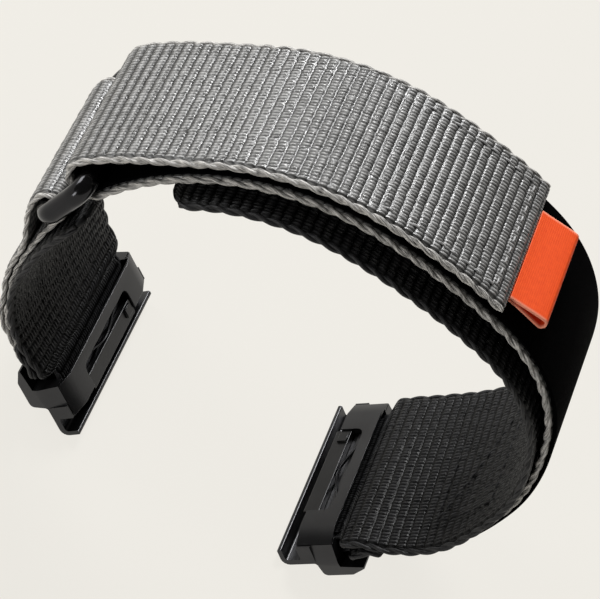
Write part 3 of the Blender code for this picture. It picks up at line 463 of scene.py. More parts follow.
class Path:
    """A line of a layer at even steps: points, directions, distances, places and leans."""

    def __init__(self, line, step):
        raw = np.array(line)
        flat = raw[:, :2] @ SPIN.T + SHIFT
        gone = np.concatenate([[0.0], np.cumsum(np.linalg.norm(np.diff(flat, axis=0), axis=1))])
        self.last = int(round(gone[-1] / step))
        self.step = gone[-1] / self.last
        self.gone = np.linspace(0.0, gone[-1], self.last + 1)
        self.points = np.stack([np.interp(self.gone, gone, flat[:, k]) for k in (0, 1)], axis=1)
        self.place = np.interp(self.gone, gone, raw[:, 2])
        self.along = np.gradient(self.points, axis=0)
        self.along /= np.linalg.norm(self.along, axis=1)[:, None]
        self.normal = np.stack([-self.along[:, 1], self.along[:, 0]], axis=1)
        self.lean = self.find_lean()

    def find_lean(self):
        """Tells how far each row leans close to the adapters, its near edge outwards."""
        centre = SPIN @ rail(0.0, -SIDE_RADIUS) + SHIFT
        outwards = np.sign(((self.points - centre) * self.normal).sum(axis=1))
        lean = [RIGHT_TWIST * eased(s / RIGHT_LENGTH, TWIST_SHARES) if s > 0
                else LEFT_TWIST * eased(-s / LEFT_LENGTH, TWIST_SHARES) for s in self.place]
        return np.array(lean) * outwards

    def surface(self, rows, across, offset):
        """Gives the points at rows of the path, set across the strap and off its middle."""
        lean = self.lean[rows][:, None] * across / (CARRIER_WIDTH / 2)
        across, offset = np.broadcast_arrays(across, offset - lean)
        flat = self.points[rows][:, None] + self.normal[rows][:, None] * offset[..., None]
        return np.stack([flat[..., 0], across, flat[..., 1]], axis=-1)

    def at(self, gone):
        """Gives the nearest row to each distance along the path."""
        return np.clip(np.round(gone / self.step).astype(int), 0, self.last)


# %% [markdown]
# ## Shader maths
# A node tree is easier to read as an expression. The small class below wraps
# one socket, so that arithmetic on two values adds the Math node that does it.
# Everything else comes from one method of the finish, which takes the node's
# type, its settings and the values or links of its inputs.

# %% Sockets that do arithmetic
class Value:
    """One output socket, with the arithmetic that the finishes use."""

    def __init__(self, finish, socket):
        self.finish = finish
        self.socket = socket

    def math(self, operation, *others):
        """Adds a Math node fed by this value and the others."""
        inputs = dict(enumerate((self, *others)))
        return self.finish.add("ShaderNodeMath", {"operation": operation}, inputs)

    def other(self, output):
        """Gives another output of the same node."""
        return Value(self.finish, self.socket.node.outputs[output])

    def __add__(self, other):
        return self.math("ADD", other)

    def __mul__(self, other):
        return self.math("MULTIPLY", other)

    def __sub__(self, other):
        return self.math("SUBTRACT", other)

    def __rsub__(self, other):
        return self.finish.add("ShaderNodeMath", {"operation": "SUBTRACT"}, {0: other, 1: self})

    __radd__ = __add__
    __rmul__ = __mul__


# %% Finish
class Finish:
    """A material with a Principled shader, and the one method that adds nodes to it."""

    def __init__(self, name, **fixed):
        self.material = bpy.data.materials.new(name)
        self.material.use_nodes = True
        self.tree = self.material.node_tree
        self.shader = self.tree.nodes["Principled BSDF"]
        self.paint(**fixed)

    def add(self, kind, settings=None, inputs=None, output=0):
        """Adds a node, sets it up, feeds its inputs and gives one of its outputs."""
        node = self.tree.nodes.new(kind)
        for label, value in (settings or {}).items():
            setattr(node, label, value)
        for label, value in (inputs or {}).items():
            self.feed(node.inputs[label], value)
        return Value(self, node.outputs[output])

    def feed(self, socket, value):
        """Links a value to a socket, or sets the socket to a plain number or colour."""
        if isinstance(value, Value):
            self.tree.links.new(value.socket, socket)
        else:
            socket.default_value = value

    def vector(self, x, y):
        """Joins two values to a vector."""
        return self.add("ShaderNodeCombineXYZ", inputs={0: x, 1: y})

    def colour(self, share, low, high):
        """Mixes two colours by a share."""
        low, high = [end if isinstance(end, Value) else (*end, 1.0) for end in (low, high)]
        return self.add("ShaderNodeMix", {"data_type": "RGBA"}, {0: share, 6: low, 7: high}, output=2)

    def noise(self, vector, scale, detail=2.0, roughness=0.5):
        """Gives a noise value at a vector."""
        return self.add("ShaderNodeTexNoise", inputs={
            "Vector": vector, "Scale": scale, "Detail": detail, "Roughness": roughness})

    def bump(self, height, strength, distance):
        """Turns a height into a normal."""
        return self.add("ShaderNodeBump", inputs={
            "Strength": strength, "Distance": distance, "Height": height})

    def paint(self, **inputs):
        """Feeds the Principled shader and gives the material."""
        for label, value in inputs.items():
            self.feed(self.shader.inputs[label.replace("_", " ")], value)
        return self.material


# %% [markdown]
# ## Woven nylon
# Nylon yarn is a bundle of fine threads: it shines a little along its length,
# each knuckle differs slightly from the next, and the gaps between the ribs
# and yarns get painted shade, almost black, which also deepens the lower a
# point lies in the weave. The woven meshes carry, for every point, its place
# in ribs and yarns and how deep it lies in the weave, and the finish reads them.

# %% Reading the weave
def weave_of(finish):
    """Gives a mesh's weave coordinates: along in ribs, across in yarns, and depth."""
    stored = finish.add("ShaderNodeAttribute", {"attribute_name": "weave"}, output=1)
    parts = finish.add("ShaderNodeSeparateXYZ", inputs={0: stored})
    return [parts.other(k) for k in range(3)]


def gap(value, power):
    """Rises to 1 in the gaps between whole numbers, the more narrowly the higher the power."""
    return ((value.math("FRACT") - 0.5).math("ABSOLUTE") * 2.0).math("POWER", power)


def wave(value):
    """Swings between 0 and 1, once from each whole number to the next."""
    return (value * TURN).math("SINE") * 0.5 + 0.5


def clamped(value):
    """Keeps a share between 0 and 1."""
    return value.math("MAXIMUM", 0.0).math("MINIMUM", 1.0)


# %% Yarn
RIB_GAP_POWER = 1.4
YARN_GAP_POWER = 1.35
# The next two set how dark the painted shade is in the gaps between yarns and in the low places of the
# weave.
YARN_GAP_PAINTED_SHADE = 0.95
SUNK_PAINTED_SHADE = 0.6
PLAIN_SHADE = 0.66
ODD_SHADE = 0.40
THREAD_SHADE = 1.2
ODD_ROUGHNESS = 0.12
YARN_BUMP = 0.00012


def yarn(name, pale, dark, roughness, shine):
    """Makes the finish of a woven face from the mesh's own weave coordinates, with painted shade in its
    gaps and low places.
    """
    finish = Finish(name, Specular_IOR_Level=shine)
    ribs, yarns, sunk = weave_of(finish)
    cell = finish.vector(ribs.math("FLOOR"), yarns.math("FLOOR"))
    odd = finish.add("ShaderNodeTexWhiteNoise", {"noise_dimensions": "2D"}, {"Vector": cell})
    threads = finish.noise(finish.vector(ribs * 1.1, yarns * 5.0), 1.0, 2.0, 0.6)
    # Painted shade: the colour falls towards the dark colour in the gaps between ribs and yarns and in the
    # low places of the weave.
    above = (1.0 - gap(ribs, RIB_GAP_POWER)) * (1.0 - gap(yarns, YARN_GAP_POWER) * YARN_GAP_PAINTED_SHADE)
    raised = above * (1.0 - sunk * SUNK_PAINTED_SHADE)
    shade = clamped(raised * (PLAIN_SHADE + odd * ODD_SHADE + (threads - 0.5) * THREAD_SHADE))
    normal = finish.bump(raised * 0.7 + threads * 0.3, 0.9, YARN_BUMP)
    rough = roughness + (odd - 0.5) * ODD_ROUGHNESS
    return finish.paint(Base_Color=finish.colour(shade, dark, pale), Roughness=rough, Normal=normal)


# %% Edge and sewing thread
THREAD_BUMP = 0.0001


def edge_thread(name, pale, dark, roughness, shine):
    """Makes the finish of the thick threads of a selvedge or a seam."""
    finish = Finish(name, Specular_IOR_Level=shine)
    run, turn, sunk = weave_of(finish)
    threads = finish.noise(finish.vector(run * 1.2, turn * 9.0 - run * 1.5), 1.0, 2.0, 0.6)
    # Painted shade: the colour darkens with the depth that the mesh gives each point.
    shade = clamped((1.0 - sunk) * (0.60 + (threads - 0.5) * 3.0))
    return finish.paint(Base_Color=finish.colour(shade, dark, pale), Roughness=roughness,
                        Normal=finish.bump(threads, 0.8, THREAD_BUMP))


# The second colour of each finish is its dark end: painted shade in gaps and low places, and the dark of
# the thread texture.
GREY = (yarn("grey_yarn", (0.46, 0.457, 0.450), (0.001, 0.001, 0.0011), 0.29, 0.80),
        edge_thread("grey_edge_thread", (0.70, 0.68, 0.65), (0.02, 0.02, 0.02), 0.45, 0.5))
BLACK = (yarn("black_yarn", (0.042, 0.042, 0.044), (0.0002, 0.0002, 0.0002), 0.28, 0.10),
         edge_thread("black_edge_thread", (0.040, 0.040, 0.042), (0.0005, 0.0005, 0.0005), 0.4, 0.18))
SEWING = edge_thread("pale_sewing_thread", (0.62, 0.62, 0.62), (0.20, 0.20, 0.20), 0.45, 0.5)
DARK_SEWING = edge_thread("dark_sewing_thread", (0.030, 0.030, 0.032), (0.001, 0.001, 0.001), 0.5, 0.10)
print("woven finishes", [finish.name for finish in (*GREY, *BLACK, SEWING, DARK_SEWING)])

# %% [markdown]
# ## Loop fabric and ribbon
# The lining is brushed loop fabric for the hook tape to grip. Its curls trap
# nearly all light, so it is a noise at two scales, almost black and without
# shine. The pull tab is a satin ribbon with fine ribs, with painted shade in
# their troughs. Its edges are fused by heat and painted a little paler, partly
# their own colour and partly a painted highlight.

# %% Loop fabric
NAP_BUMP = 0.00012
CURL_SCALE = 4200.0
NAP_SCALE = 420.0


def loop_fabric(name):
    """Makes the black brushed loop fabric, which swallows nearly all light."""
    finish = Finish(name, Specular_IOR_Level=0.01)
    place = finish.add("ShaderNodeTexCoord", output=3)
    curls = finish.noise(place, CURL_SCALE, 3.0, 0.65)
    shade = curls * 0.7 + finish.noise(place, NAP_SCALE) * 0.3
    colour = finish.colour(shade, (0.0002, 0.0002, 0.0003), (0.0018, 0.0018, 0.0020))
    return finish.paint(Base_Color=colour, Roughness=0.95, Normal=finish.bump(curls, 0.8, NAP_BUMP))


LOOP_FABRIC = loop_fabric("loop_fabric_nap")
print("lining finish", LOOP_FABRIC.name)

# %% Satin ribbon
RIBBON_BUMP = 0.00004
RIBBON_DARK = (0.70, 0.052, 0.010)
RIBBON_PALE = (1.0, 0.125, 0.022)
RIBBON_FUSED_EDGE_AND_HIGHLIGHT = (0.95, 0.34, 0.22)


def ribbon(name):
    """Makes the orange satin ribbon: fine ribs across it with painted shade in their troughs, and a fused
    edge painted paler, partly its own colour and partly a painted highlight.
    """
    finish = Finish(name, Specular_IOR_Level=0.12)
    run, across, sunk = weave_of(finish)
    height = wave(run) * 0.6 + wave(across) * 0.4
    grain = finish.noise(finish.vector(run * 0.4, across * 0.4), 1.0)
    # Painted shade: the colour is a little darker in the troughs of the fine ribs.
    shade = clamped(0.5 + (height - 0.5) * 0.25 + (grain - 0.5) * 0.6)
    # The fused edge is painted paler: partly its own colour, partly a painted highlight.
    colour = finish.colour(sunk, finish.colour(shade, RIBBON_DARK, RIBBON_PALE), RIBBON_FUSED_EDGE_AND_HIGHLIGHT)
    return finish.paint(Base_Color=colour, Roughness=0.62, Normal=finish.bump(height, 0.35, RIBBON_BUMP))


RIBBON = ribbon("satin_ribbon")
print("ribbon finish", RIBBON.name)

# %% [markdown]
# ## Coated metal
# The adapters are blasted and coated black, the ring is glossy, and the pins
# are plain dark steel. They are all the same kind of surface: a fine grain in
# the normal and slow clouds in colour and roughness, which look like wear. So
# one function makes them from a colour, a roughness and a share of metal.

# %% Metal finishes
GRAIN_SCALE = 9000.0
CLOUD_SCALE = 260.0
GRAIN_BUMP = 0.00001


def satin_metal(name, colour, roughness, metallic):
    """Makes a bead-blasted, black-coated metal, with a grain and slight wear."""
    finish = Finish(name, Metallic=metallic, Specular_IOR_Level=0.5)
    place = finish.add("ShaderNodeTexCoord", output=3)
    grain = finish.noise(place, GRAIN_SCALE)
    cloud = finish.noise(place, CLOUD_SCALE, 3.0)
    tint = finish.colour(cloud, [0.8 * c for c in colour], [1.25 * c for c in colour])
    rough = roughness + (cloud - 0.5) * 0.08 + (grain - 0.5) * 0.06
    return finish.paint(Base_Color=tint, Roughness=rough, Normal=finish.bump(grain, 0.15, GRAIN_BUMP))


SATIN = satin_metal("satin_black", (0.044, 0.044, 0.046), 0.33, 0.9)
LATCH_SATIN = satin_metal("latch_black", (0.030, 0.030, 0.031), 0.32, 0.9)
GLOSS = satin_metal("gloss_black", (0.026, 0.026, 0.028), 0.16, 0.9)
STEEL = satin_metal("dark_steel", (0.022, 0.022, 0.023), 0.42, 1.0)
print("metal finishes", [m.name for m in (SATIN, LATCH_SATIN, GLOSS, STEEL)])

# %% [markdown]
# ## Metal pieces
# The adapters are machined from metal and coated black. No machined edge is
# perfectly sharp: the tumbling that comes before the coating rounds it by
# less than a tenth of a millimetre, and that is what draws the thin bright
# lines along the lip and the window. Each solid is copied and its edges are
# rounded by that much. The thin leaf springs keep their edges.

# %% Copies of the solids
FLAT_ANGLE = 1.0
MERGE_DISTANCE = 0.000002


def finished_copy(label, finish):
    """Copies a solid of the frame and gives it a finish."""
    node = frame["nodes"][label]
    mesh = node.data.copy()
    build = bmesh.new()
    build.from_mesh(mesh)
    bmesh.ops.remove_doubles(build, verts=build.verts, dist=MERGE_DISTANCE)
    flat = math.radians(FLAT_ANGLE)
    bmesh.ops.dissolve_limit(build, angle_limit=flat, verts=build.verts, edges=build.edges)
    build.to_mesh(mesh)
    build.free()
    mesh.materials.clear()
    mesh.materials.append(finish)
    mesh.shade_smooth()
    made = add_object(label + "_finished", mesh)
    made.matrix_world = node.matrix_world
    return made


# %% Worn edges and springs
EDGE_ROUND = 0.00007
EDGE_SEGMENTS = 2
SHARP_ANGLE = 30.0


def round_edges(made):
    """Rounds the sharp edges of a piece and keeps its flat faces flat."""
    bevel = made.modifiers.new("worn_edges", "BEVEL")
    bevel.width = EDGE_ROUND
    bevel.segments = EDGE_SEGMENTS
    bevel.limit_method = "ANGLE"
    bevel.angle_limit = math.radians(SHARP_ANGLE)
    bevel.harden_normals = True
    made.modifiers.new("flat_faces", "WEIGHTED_NORMAL").keep_sharp = True


def bend_spring(spring, side):
    """Bakes a spring's place into its mesh; the spring does not follow the latch."""
    axis = Vector(joint_named(f"{side}_latch_slide")["axis"])
    spots = [spring.matrix_world @ vertex.co for vertex in spring.data.vertices]
    fixed, moving = max(spots, key=axis.dot), min(spots, key=axis.dot)
    moving = fixed + axis * axis.dot(moving - fixed)
    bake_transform(spring)


# %% Adapters
METAL_PIECES = (
    ("adapter_body", SATIN, "adapter", "satin_black_metal"),
    ("adapter_cover", SATIN, "adapter", "satin_black_metal"),
    ("latch", LATCH_SATIN, "latch", "satin_black_metal"),
    ("strap_bar", STEEL, "adapter", "steel"),
    ("cover_dowel_1", STEEL, "adapter", "steel"),
    ("cover_dowel_2", STEEL, "adapter", "steel"),
)


def dress_adapter(side):
    """Gives every piece of one adapter its finish, each on its own body but the spring, which rides on
    none.
    """
    for piece, finish, body, slot in METAL_PIECES:
        made = finished_copy(f"{side}_{piece}", finish)
        round_edges(made)
        mount(made, f"{side}_{body}", f"{side}_{piece}")
    spring = finished_copy(f"{side}_latch_spring", STEEL)
    bend_spring(spring, side)
    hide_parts(f"{side}_latch_spring")


for side in ("right", "left"):
    dress_adapter(side)
    print("metal pieces dressed,", side)

# %% [markdown]
# ## Weaving
# Strap webbing is a ribbed weave: thick picks run across it, and the fine yarn
# along it passes over them, so the face is made of rows of small knuckles. A
# texture could fake that, but the rows show at every edge and in every bend,
# so here each knuckle is raised in the mesh. The edge, the selvedge, is
# finished with a cord of two thicker threads twisted together.

# %% Sizes of the weave
RIB_PITCH = 0.00117
YARN_PITCH = 0.00052
ROWS_A_RIB = 6
RIB_RELIEF = 0.00026
EDGE_STEPS = 3
WEAVE_STEP = RIB_PITCH / ROWS_A_RIB
print("ribs and yarns in 10 mm:", round(0.01 / RIB_PITCH, 1), round(0.01 / YARN_PITCH, 1))


# %% Piece of cloth
class Cloth:
    """Gathers swept tubes and turns them into one mesh with weave coordinates."""

    def __init__(self):
        self.points, self.weave, self.faces, self.kinds = [], [], [], []
        self.count = 0

    def tube(self, points, weave, kind=0):
        """Adds a closed tube from rows of points, capped at both ends."""
        rows, sides = points.shape[:2]
        index = self.count + np.arange(rows * sides).reshape(rows, sides)
        quads = row_quads(index[:-1], index[1:])
        self.faces += quads + [index[0][::-1].tolist(), index[-1].tolist()]
        self.kinds += [kind] * (len(quads) + 2)
        self.points.append(points.reshape(-1, 3))
        self.weave.append(np.broadcast_to(weave, points.shape).reshape(-1, 3))
        self.count += rows * sides

    def make(self, name, finishes):
        """Makes the object, smooth and facing out."""
        made = add_mesh(name, np.concatenate(self.points).tolist(), self.faces, finishes)
        mesh = made.data
        mesh.attributes.new("weave", "FLOAT_VECTOR", "POINT").data.foreach_set(
            "vector", np.concatenate(self.weave).astype(np.float32).ravel())
        mesh.polygons.foreach_set("material_index", self.kinds)
        build = bmesh.new()
        build.from_mesh(mesh)
        bmesh.ops.recalc_face_normals(build, faces=build.faces)
        build.to_mesh(mesh)
        build.free()
        print(name, len(mesh.polygons), "faces")
        return made


def coordinates(along, across, depth):
    """Joins the three weave coordinates of every point."""
    return np.stack(np.broadcast_arrays(along, across, depth), axis=-1)


# %% Knuckles of the weave
YARN_SLANT = -0.18
RIB_SLIP = 0.022
KNUCKLE_SWELL = 0.08
KNUCKLE_POWER = 0.7
YARN_DIP = 0.4
SPARE_CELLS = 3


def knuckle(share):
    """Gives the round height of a knuckle from its start to its end."""
    return np.sqrt(np.maximum(0.0, 1.0 - (2.0 * share - 1.0) ** 2))


def relief(ribs, yarns, seed):
    """Gives the height of the woven face, and its places in ribs and yarns with the weave's slips."""
    random = np.random.default_rng(seed)
    count = int(yarns.max()) + SPARE_CELLS
    slip = random.normal(0.0, RIB_SLIP, count)
    swell = random.normal(1.0, KNUCKLE_SWELL, (int(ribs.max()) + SPARE_CELLS, count))
    yarns = yarns + YARN_SLANT * (ribs % 1.0 - 0.5)
    column = np.clip(np.floor(yarns).astype(int), 0, count - 1)
    ribs = ribs + slip[column]
    row = np.clip(np.floor(ribs), 0, len(swell) - 1).astype(int)
    round_yarn = 1.0 - YARN_DIP + YARN_DIP * knuckle(yarns % 1.0)
    return knuckle(ribs % 1.0) ** KNUCKLE_POWER * round_yarn * swell[row, column], ribs, yarns


# %% Woven faces
POINTS_A_YARN = 3
BACK_POINTS = 16
SELVEDGE = 0.00055
# Depth given to the strip's rounded sides; the finish paints it as shade.
EDGE_SHADE_DEPTH = 0.6


def strip_rows(path, rows, halves, thickness, face, seed, both):
    """Gives the points and weave coordinates of a strip at some of its path's rows."""
    yarn_count = int(round(2 * (np.max(halves) - SELVEDGE) / YARN_PITCH))
    front = np.linspace(-1.0, 1.0, yarn_count * POINTS_A_YARN + 1)
    back = front[::-1] if both else np.linspace(1.0, -1.0, BACK_POINTS)
    wide = (halves - SELVEDGE)[:, None]
    thin = (thickness / 2 - RIB_RELIEF / 2)[:, None]
    angles = np.linspace(0.0, math.pi, EDGE_STEPS + 2)[1:-1]
    ribs = (rows / ROWS_A_RIB)[:, None]
    (high, ribs_up, yarns_up), (low, ribs_down, yarns_down) = [
        relief(*np.broadcast_arrays(ribs, (shares + 1.0) / 2 * yarn_count), seed + turn)
        for turn, shares in enumerate((front, back))]
    offset = np.concatenate([thin + RIB_RELIEF * high, thin * np.cos(angles),
                             -thin - RIB_RELIEF * low, -thin * np.cos(angles)], axis=1)
    across = np.concatenate([front * wide, wide + thin * np.sin(angles),
                             back * wide, -wide - thin * np.sin(angles)], axis=1)
    # The depth, 1 less the knuckle's height and a fixed value on the rounded sides, is painted as shade by
    # the finish.
    edge = np.full((len(rows), EDGE_STEPS), EDGE_SHADE_DEPTH)
    whole = np.broadcast_to(ribs, edge.shape)
    weave = coordinates(
        np.concatenate([ribs_up, whole, ribs_down, whole], axis=1),
        np.concatenate([yarns_up, edge, yarns_down, edge], axis=1),
        np.clip(np.concatenate([1.0 - high, edge, 1.0 - low, edge], axis=1), 0.0, 1.0))
    return path.surface(rows, across, face * offset), weave


# %% Selvedge
CORD_PITCH = 4 * RIB_PITCH
CORD_TURN_RADIUS = 0.00019
CORD_SET_IN = 0.00014
CORD_DEPTH = 0.05
STRAND_RADIUS = 0.00025
STRAND_SIDES = 8
STRANDS = 2


def cord(cloth, path, rows, halves, thickness, side):
    """Adds the twisted cord of a selvedge along one edge."""
    turns = circle(STRAND_SIDES)
    slim = np.minimum(thickness / BAND_THICKNESS, 1.0)
    for strand in range(STRANDS):
        phase = TURN * (path.gone[rows] / CORD_PITCH + strand / STRANDS)
        middle = side * (halves - CORD_SET_IN + CORD_TURN_RADIUS * np.sin(phase))
        lift = CORD_TURN_RADIUS * np.cos(phase) * slim
        across = middle[:, None] + STRAND_RADIUS * np.cos(turns)
        offset = lift[:, None] + (STRAND_RADIUS * slim)[:, None] * np.sin(turns)
        weave = coordinates(path.gone[rows][:, None] / RIB_PITCH, turns / TURN, CORD_DEPTH)
        cloth.tube(path.surface(rows, across, offset), weave, kind=1)


# %% Woven strip
END_ROUND = 0.0005
END_ROUND_LEAST = 0.1


def woven(name, path, span, halves, thickness, face, finishes, seed, both=False, cord_end=None):
    """Weaves the part of a strip between two rows, with a cord on both edges."""
    halves = np.broadcast_to(halves, path.gone.shape)
    away = np.minimum(path.gone, path.gone[-1] - path.gone)
    rounding = np.sqrt(np.clip(away / END_ROUND, END_ROUND_LEAST, 1.0))
    thickness = RIB_RELIEF + (thickness - RIB_RELIEF) * rounding
    rows = np.arange(span[0], span[1] + 1)
    cloth = Cloth()
    cloth.tube(*strip_rows(path, rows, halves[rows], thickness[rows], face, seed, both))
    corded = rows if cord_end is None else rows[rows <= cord_end]
    for side in (-1, 1):
        cord(cloth, path, corded, halves[corded], thickness[corded], side)
    return cloth.make(name, finishes)


# %% [markdown]
# ## The grey band and its flap
# One strip makes the band, the fold round the ring and the flap. It is woven
# as a whole and parted in three: the band, the flap, and the stretch at the
# fold, which rides on neither body.

# %% Band, fold and flap
FOLD_SPAN_BEFORE = 0.0030
FOLD_SPAN_AFTER = 0.0050
BLEND_BEFORE = 0.0012
BLEND_AFTER = 0.0032
BAND_SEED = 3


def hinge_row(path):
    """Gives the row where the flap's hinge lies, in the second half of a layer's path."""
    half = path.at(path.gone[-1] / 2)
    return half + int(np.argmin(np.linalg.norm(path.points[half:] - joint_place("flap_peel"), axis=1)))


def in_three(path, make, look, solid):
    """Makes a layer as band, fold and flap; the band and flap ride on their bodies, and the fold rides on
    neither.
    """
    hinge = hinge_row(path)
    start = hinge - int(FOLD_SPAN_BEFORE / WEAVE_STEP)
    stop = hinge + int(FOLD_SPAN_AFTER / WEAVE_STEP)
    mount(make(f"band_{look}", path, (0, start)), "band", f"band_{solid}")
    fold = make(f"fold_{look}", path, (start, stop))
    mount(make(f"flap_{look}", path, (stop, path.last)), "flap", f"flap_{solid}")
    here, ahead = path.points[hinge], path.along[hinge]
    low, high = here - BLEND_BEFORE * ahead, here + BLEND_AFTER * ahead
    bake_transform(fold)


def grey_strip(name, path, span, thickness=BAND_THICKNESS, face=1, seed=BAND_SEED):
    """Weaves grey webbing."""
    return woven(name, path, span, HALF_BAND, thickness, face, GREY, seed)


flap_points = flap_line(FLAP_BAND_MIDDLE, FOLD_BAND_RADIUS, FLAP_REACH)
band_path = Path(band_points + flap_points, WEAVE_STEP)
in_three(band_path, grey_strip, "weave", "webbing")


# %% Lining and hook tape
LINING_MARGIN = 0.0004
LINING_ROW_STEP = 2
HOOK_PATCH_LENGTH = 0.0185
HOOK_PATCH_MARGIN = 0.0010


def lining_strip(name, path, span):
    """Makes a smooth strip with round edges, for the lining and the hook tape."""
    rows = np.append(np.arange(span[0], span[1], LINING_ROW_STEP), span[1])
    angles = np.linspace(-math.pi / 2, math.pi / 2, EDGE_STEPS + 2)
    thin = LINING_THICKNESS / 2
    side = HALF_BAND - LINING_MARGIN - thin + thin * np.cos(angles)
    across = np.concatenate([side, -side[::-1]])
    offset = thin * np.concatenate([np.sin(angles), np.sin(angles)[::-1]])
    weave = coordinates(path.gone[rows][:, None] / RIB_PITCH, across / YARN_PITCH, 0.0)
    cloth = Cloth()
    cloth.tube(path.surface(rows, across, offset), weave)
    return cloth.make(name, [LOOP_FABRIC])


patch_start = FLAP_REACH - HOOK_PATCH_LENGTH
lining_path = Path(band_line(LINING_MIDDLE, FOLD_LINING_RADIUS)
                   + flap_line(FLAP_LINING_MIDDLE, FOLD_LINING_RADIUS, patch_start - REST_GAP), WEAVE_STEP)
in_three(lining_path, lining_strip, "lining_nap", "lining")
patch_path = Path(flap_line(FLAP_LINING_MIDDLE, FOLD_LINING_RADIUS, FLAP_REACH - HOOK_PATCH_MARGIN,
                            patch_start), WEAVE_STEP)
patch = lining_strip("hook_patch_nap", patch_path, (0, patch_path.last))
mount(patch, "flap", "hook_patch")

# %% [markdown]
# ## The black webbing
# The webbing that carries the adapters is 26 mm wide. It narrows to a neck
# between the adapter's end walls, wraps the strap bar there and comes back on
# its outer side. The far ends are cut round and sealed.

# %% Black webbing
NECK_WIDTH = 0.0216
NECK_REACH = 0.0027
NECK_SHOULDER = 0.0009
SEALED_END = 0.0006
TONGUE_CORNER = 0.0034
TONGUE_REACH = 0.0246
RIGHT_SEED = 5
LEFT_SEED = 7


def carrier_halves(path, side):
    """Gives the half width and the thickness of the black webbing at each row."""
    bar = joint_place("right_adapter_pivot" if side > 0 else "left_adapter_pivot")
    away = (np.linalg.norm(path.points - bar, axis=1) - NECK_REACH) / NECK_SHOULDER
    grown = np.sqrt(1.0 - (1.0 - np.clip(away, 0.0, 1.0)) ** 2)
    halves = (NECK_WIDTH + (CARRIER_WIDTH - NECK_WIDTH) * grown) / 2
    for corner, gone in ((SEALED_END, path.gone), (TONGUE_CORNER, path.gone[-1] - path.gone)):
        inside = np.maximum(corner - gone, 0.0)
        halves = halves - (corner - np.sqrt(np.maximum(corner ** 2 - inside ** 2, 0.0)))
    neck = NECK_THICKNESS - RIB_RELIEF
    return halves, neck + (CARRIER_THICKNESS - neck) * smoothstep(away)


def carrier(name, path, side, seed):
    """Weaves one length of the black webbing, ribbed on both faces."""
    halves, thickness = carrier_halves(path, side)
    cord_end = path.last - int(TONGUE_CORNER / WEAVE_STEP / 2)
    span = (0, path.last)
    return woven(name, path, span, halves, thickness, side, BLACK, seed, both=True, cord_end=cord_end)


right_path = Path(carrier_line(1, RIGHT_CARRIER_MIDDLE, -TONGUE_REACH, tongue_sag), WEAVE_STEP)
left_path = Path(carrier_line(-1, LEFT_CARRIER_MIDDLE, LINER_END, liner_sag), WEAVE_STEP)
right_webbing = carrier("right_webbing_weave", right_path, 1, RIGHT_SEED)
left_webbing = carrier("left_webbing_weave", left_path, -1, LEFT_SEED)
mount(right_webbing, "band", "right_webbing")
mount(left_webbing, "left_strap", "left_webbing")

# %% [markdown]
# ## The ring strap
# A short piece of the grey webbing holds the ring's lower bar. Its two legs
# lie on each other, and the outer one ends in a folded hem, so it is twice as
# thick there.

# %% Ring strap
RING_STRAP_HEM = 0.0018
RING_STRAP_SEED = 9

strap_path = Path(ring_strap_line(), WEAVE_STEP)
hem = smoothstep(2.0 * (strap_path.gone - strap_path.gone[-1] + RING_STRAP_HEM) / RING_STRAP_HEM)
strap_path.points = strap_path.points - strap_path.normal * (RING_STRAP_THICKNESS * hem / 2)[:, None]
ring_strap = grey_strip("ring_strap_weave", strap_path, (0, strap_path.last),
                        RING_STRAP_THICKNESS * (1.0 + hem), -1, RING_STRAP_SEED)
mount(ring_strap, "left_strap", "ring_strap")

# %% [markdown]
# ## The ring
# The ring is bent from round wire, welded and coated in gloss black. It is
# swept again here with many more sides, because a glossy surface shows every
# flat in its reflections.

# %% Ring
RING_SIDE_CLEARANCE = 0.0004
RING_CORNER = 0.0020
RING_CORNER_STEPS = 16
WIRE_SIDES = 40


def ring_wire():
    """Sweeps round wire along the ring's rounded rectangle, between its two bars."""
    upper, lower = joint_place("ring_swing"), joint_place("left_strap_swing")
    centre, along = (upper + lower) / 2, (upper - lower) / np.linalg.norm(upper - lower)
    side = np.array([along[1], -along[0]])
    corner = np.array([HALF_BAND + RING_SIDE_CLEARANCE + WIRE_RADIUS, RING_BAR_SPACING / 2]) - RING_CORNER
    turns = circle(WIRE_SIDES)[:, None]
    loops = []
    for k, signs in enumerate(((1, 1), (-1, 1), (-1, -1), (1, -1))):
        for angle in math.pi / 2 * (k + np.linspace(0.0, 1.0, RING_CORNER_STEPS + 1)):
            out = np.array([math.cos(angle), math.sin(angle)])
            flat = corner * signs + (RING_CORNER + WIRE_RADIUS * np.cos(turns)) * out
            deep = centre + along * flat[:, 1:] + side * WIRE_RADIUS * np.sin(turns)
            loops.append(np.stack([deep[:, 0], flat[:, 0], deep[:, 1]], axis=1))
    points = np.concatenate(loops)
    index = np.arange(len(points)).reshape(len(loops), WIRE_SIDES)
    return add_mesh("ring_wire", points.tolist(), row_quads(index, np.roll(index, -1, 0)), [GLOSS])


ring = ring_wire()
mount(ring, "ring", "ring")
print("ring", len(ring.data.polygons), "faces")

# %% [markdown]
# ## The pull tab
# A satin ribbon is folded into a flat loop at the end of the flap. Its lower
# leg hangs in a small belly, so that the loop gapes like a drop. It is swept
# from the same kind of line as the webbing, with a fine, smooth face.

# %% Pull tab
TAB_WIDTH = 0.0152
TAB_SHIFT = 0.0010
TAB_LENGTH = 0.0052
TAB_RIBBON = 0.00030
TAB_LOOP_RADIUS = 0.00048
TAB_ROOT_SPREAD = 0.00022
TAB_LIFT = 8.0
TAB_BELLY = 0.0003
TAB_STEPS = 24
TAB_FACE_POINTS = 40
TAB_EDGE = 0.00012
RIBBON_LINE = 0.00026


